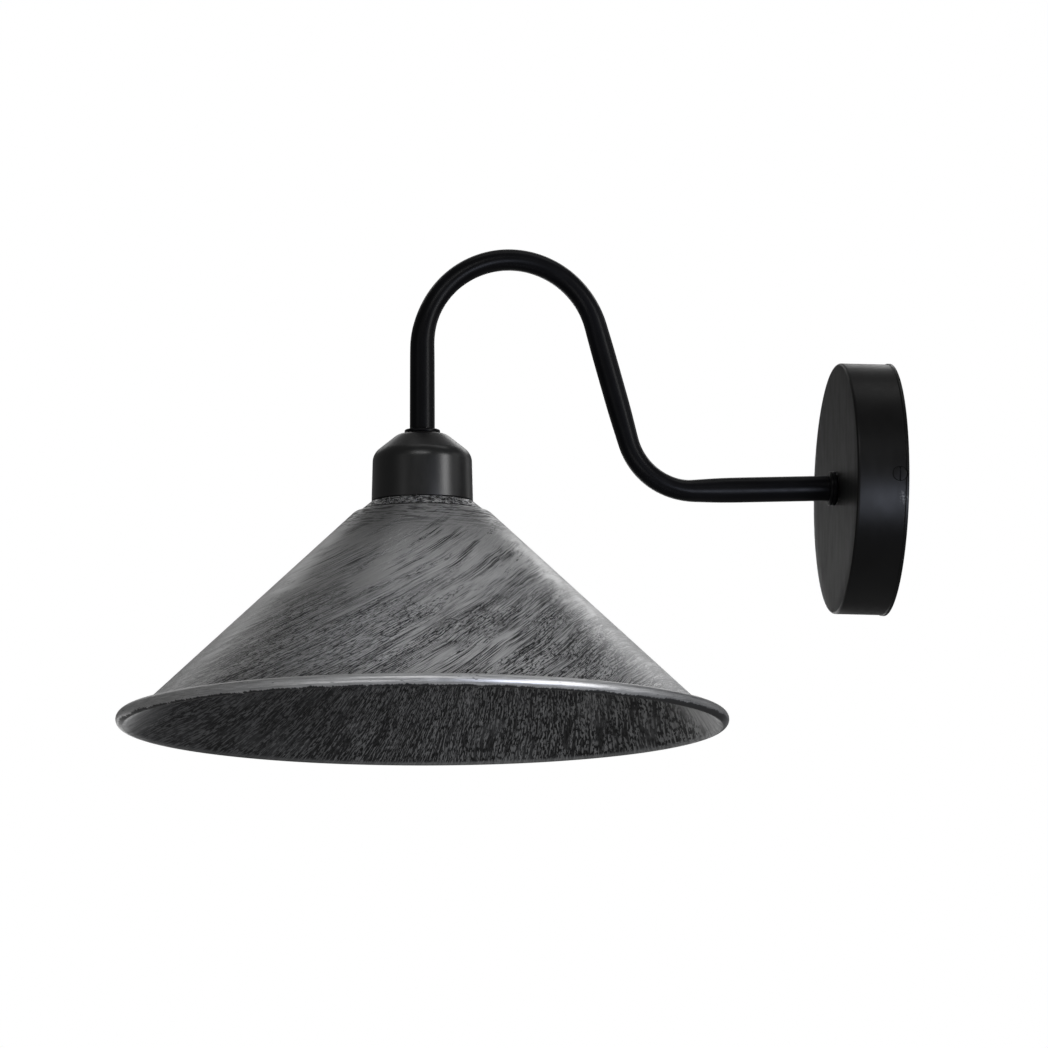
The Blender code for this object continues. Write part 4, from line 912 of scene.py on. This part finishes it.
def wires():
    """Live and neutral run from block to holder through the arm, and earth from tag to tag in the rose."""
    for side, name, slot, material in (
        (-1, "live_wire", "brown_pvc", BROWN), (1, "neutral_wire", "blue_pvc", BLUE),
    ):
        x = side * 1.5
        pole, mouth = metres(side * POLE_ASIDE, -POLE_OUT, -24), metres(side * POLE_ASIDE, -POLE_OUT, -16)
        points = [pole, mouth]
        points += eased(mouth, metres(0, 0, 24), metres(x, -16.5, 0), metres(0, -24, 0), 24)
        points += [beside_arm(station, x, 0) for station in arm_stations()[::2]]
        nipple_end, tower = metres(x, -REACH, 6), metres(side * TERMINAL_ASIDE, -REACH, -2.5)
        points += [nipple_end]
        points += eased(nipple_end, metres(0, 0, -9), tower, metres(0, 0, -9), 16)
        points += [tower - metres(0, 0, 3)]
        wire(name, points, slot, material)
    start, end = metres(12, -21.7, 0), metres(27, -3.6, 4)
    leave, arrive = start + metres(4, 0, 0), end + metres(4, 0, 0)
    points = [start, leave] + eased(leave, metres(38, 0, 8), arrive, metres(-22, 0, 0), 40) + [end]
    wire("earth_wire", points, "green_pvc", EARTH)


# ---------------------------------------------------------------- CAD nodes that keep their shape

CARRIED = {
    "mounting_strap": ZINC,
    "strap_earth_tag": NUT_ZINC,
    "arm_earth_tag": NUT_ZINC,
    "toothed_washer": NUT_ZINC,
    "rose_nut": NUT_ZINC,
    "cap_nut": NUT_ZINC,
    "terminal_block": NYLON,
    "live_insert": BRASS,
    "neutral_insert": BRASS,
    "holder_core": CERAMIC,
    "centre_contact": BRASS,
    "shell_contact": BRASS,
}


def carried():
    for name, material in CARRIED.items():
        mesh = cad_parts[name].data
        mesh.materials.clear()
        mesh.materials.append(material)


# ---------------------------------------------------------------- camera, light, floor

AZIMUTH, ELEVATION = math.radians(79.7), math.radians(-7.6)  # of the camera, seen from the object
VIEW_WIDTH = 0.50144
ROOM_LIGHT = 0.14
FLOOR_HEIGHT, FLOOR_RADIUS = -1.3, 6
BACK = Vector((
    math.sin(AZIMUTH) * math.cos(ELEVATION), -math.cos(AZIMUTH) * math.cos(ELEVATION), math.sin(ELEVATION),
))
RIGHT = Vector((math.cos(AZIMUTH), math.sin(AZIMUTH), 0))
UP = BACK.cross(RIGHT)
CENTRE = RIGHT * -0.1737 + UP * -0.0163


def camera():
    data = bpy.data.cameras.new("camera")
    data.type = "ORTHO"
    data.ortho_scale = VIEW_WIDTH
    data.clip_end = 20
    obj = bpy.data.objects.new("camera", data)
    turn = Matrix((RIGHT, UP, BACK)).transposed().to_4x4()
    obj.matrix_world = Matrix.Translation(CENTRE + BACK * 2) @ turn
    bpy.context.scene.collection.objects.link(obj)
    bpy.context.scene.camera = obj


def softbox(name, right, up, back, width, height, power, colour=(1, 1, 1)):
    """A soft light aimed at the middle of the view, from this far right, above and towards the camera."""
    data = bpy.data.lights.new(name, "AREA")
    data.shape = "RECTANGLE"
    data.size, data.size_y = width, height
    data.energy = power
    data.color = colour
    obj = bpy.data.objects.new(name, data)
    offset = RIGHT * right + UP * up + BACK * back
    turn = offset.to_track_quat("Z", "Y").to_matrix().to_4x4()
    obj.matrix_world = Matrix.Translation(CENTRE + offset) @ turn
    obj.visible_camera = False
    bpy.context.scene.collection.objects.link(obj)


def surroundings():
    """White to the camera, and an even dim grey room to everything else."""
    world = bpy.data.worlds.new("room")
    world.use_nodes = True
    bpy.context.scene.world = world
    tree = world.node_tree
    tree.nodes.clear()
    output = tree.nodes.new("ShaderNodeOutputWorld")
    path = tree.nodes.new("ShaderNodeLightPath")
    mix = tree.nodes.new("ShaderNodeMixShader")
    tree.links.new(path.outputs["Is Camera Ray"], mix.inputs[0])
    for index, value in ((1, ROOM_LIGHT), (2, 1.0)):
        background = tree.nodes.new("ShaderNodeBackground")
        background.inputs["Color"].default_value = (value, value, value, 1)
        tree.links.new(background.outputs[0], mix.inputs[index])
    tree.links.new(mix.outputs[0], output.inputs["Surface"])


def lights():
    """Each: right, up and towards the camera, width and height, all in metres, then watts and colour."""
    softbox("key at the right", 1.25, 0.25, 0.95, 0.4, 1.2, 11.5)
    softbox("beside the rose", 0.448, -0.115, 0.8, 0.2, 0.34, 2.7, (0.76, 0.82, 1.0))
    softbox("fill at the left", -1.1, 0.25, 1.1, 0.5, 1.2, 0.9)
    softbox("side fill", 1.5, 0.3, 0.0, 0.4, 1.2, 1.3)
    softbox("low front", -0.7, -0.5, 1.6, 1.0, 0.3, 3.4)
    softbox("rim highlight", -0.15, 1.1, 1.25, 0.9, 0.3, 4.6)
    softbox("above", 0.0, 1.5, -0.35, 0.8, 0.5, 1.0)
    softbox("above right", 0.6, 1.4, -0.35, 0.6, 0.5, 1.1)
    softbox("behind, high", 0.0, 1.15, -1.35, 1.2, 0.4, 0.5)
    softbox("behind, left", -0.5, 0.62, -1.4, 0.8, 0.35, 0.95)
    softbox("behind, right", 0.5, 0.62, -1.4, 0.8, 0.35, 2.0)
    softbox("behind, far right", 1.15, 0.2, -0.96, 0.3, 1.0, 0.7)
    softbox("behind, level", 0.0, -0.05, -1.5, 0.4, 0.15, 1.0)
    softbox("from below", 0.0, -1.25, 0.1, 2.0, 2.0, 1.5)
    softbox("behind, low", -0.3, -0.45, -1.25, 0.8, 0.4, 1.3)


def floor():
    """A wide floor far below, hidden from bounced light so that it doesn't change the object's shading."""
    mesh = bpy.data.meshes.new("floor")
    builder = bmesh.new()
    bmesh.ops.create_circle(builder, cap_ends=True, segments=96, radius=FLOOR_RADIUS)
    builder.transform(Matrix.Translation((0, -0.2, FLOOR_HEIGHT)))
    builder.to_mesh(mesh)
    builder.free()
    mesh.materials.append(floor_material())
    obj = bpy.data.objects.new("floor", mesh)
    obj.visible_diffuse = obj.visible_glossy = False
    bpy.context.scene.collection.objects.link(obj)


def main():
    for make in (
        camera, surroundings, lights, floor, rose, side_screws, collar, rose_inside, arm, cap, holder, skirt,
        shell, ring, shade, wires, carried,
    ):
        make()
    settings = bpy.context.scene.view_settings
    settings.view_transform = "Standard"
    settings.look = "None"


main()
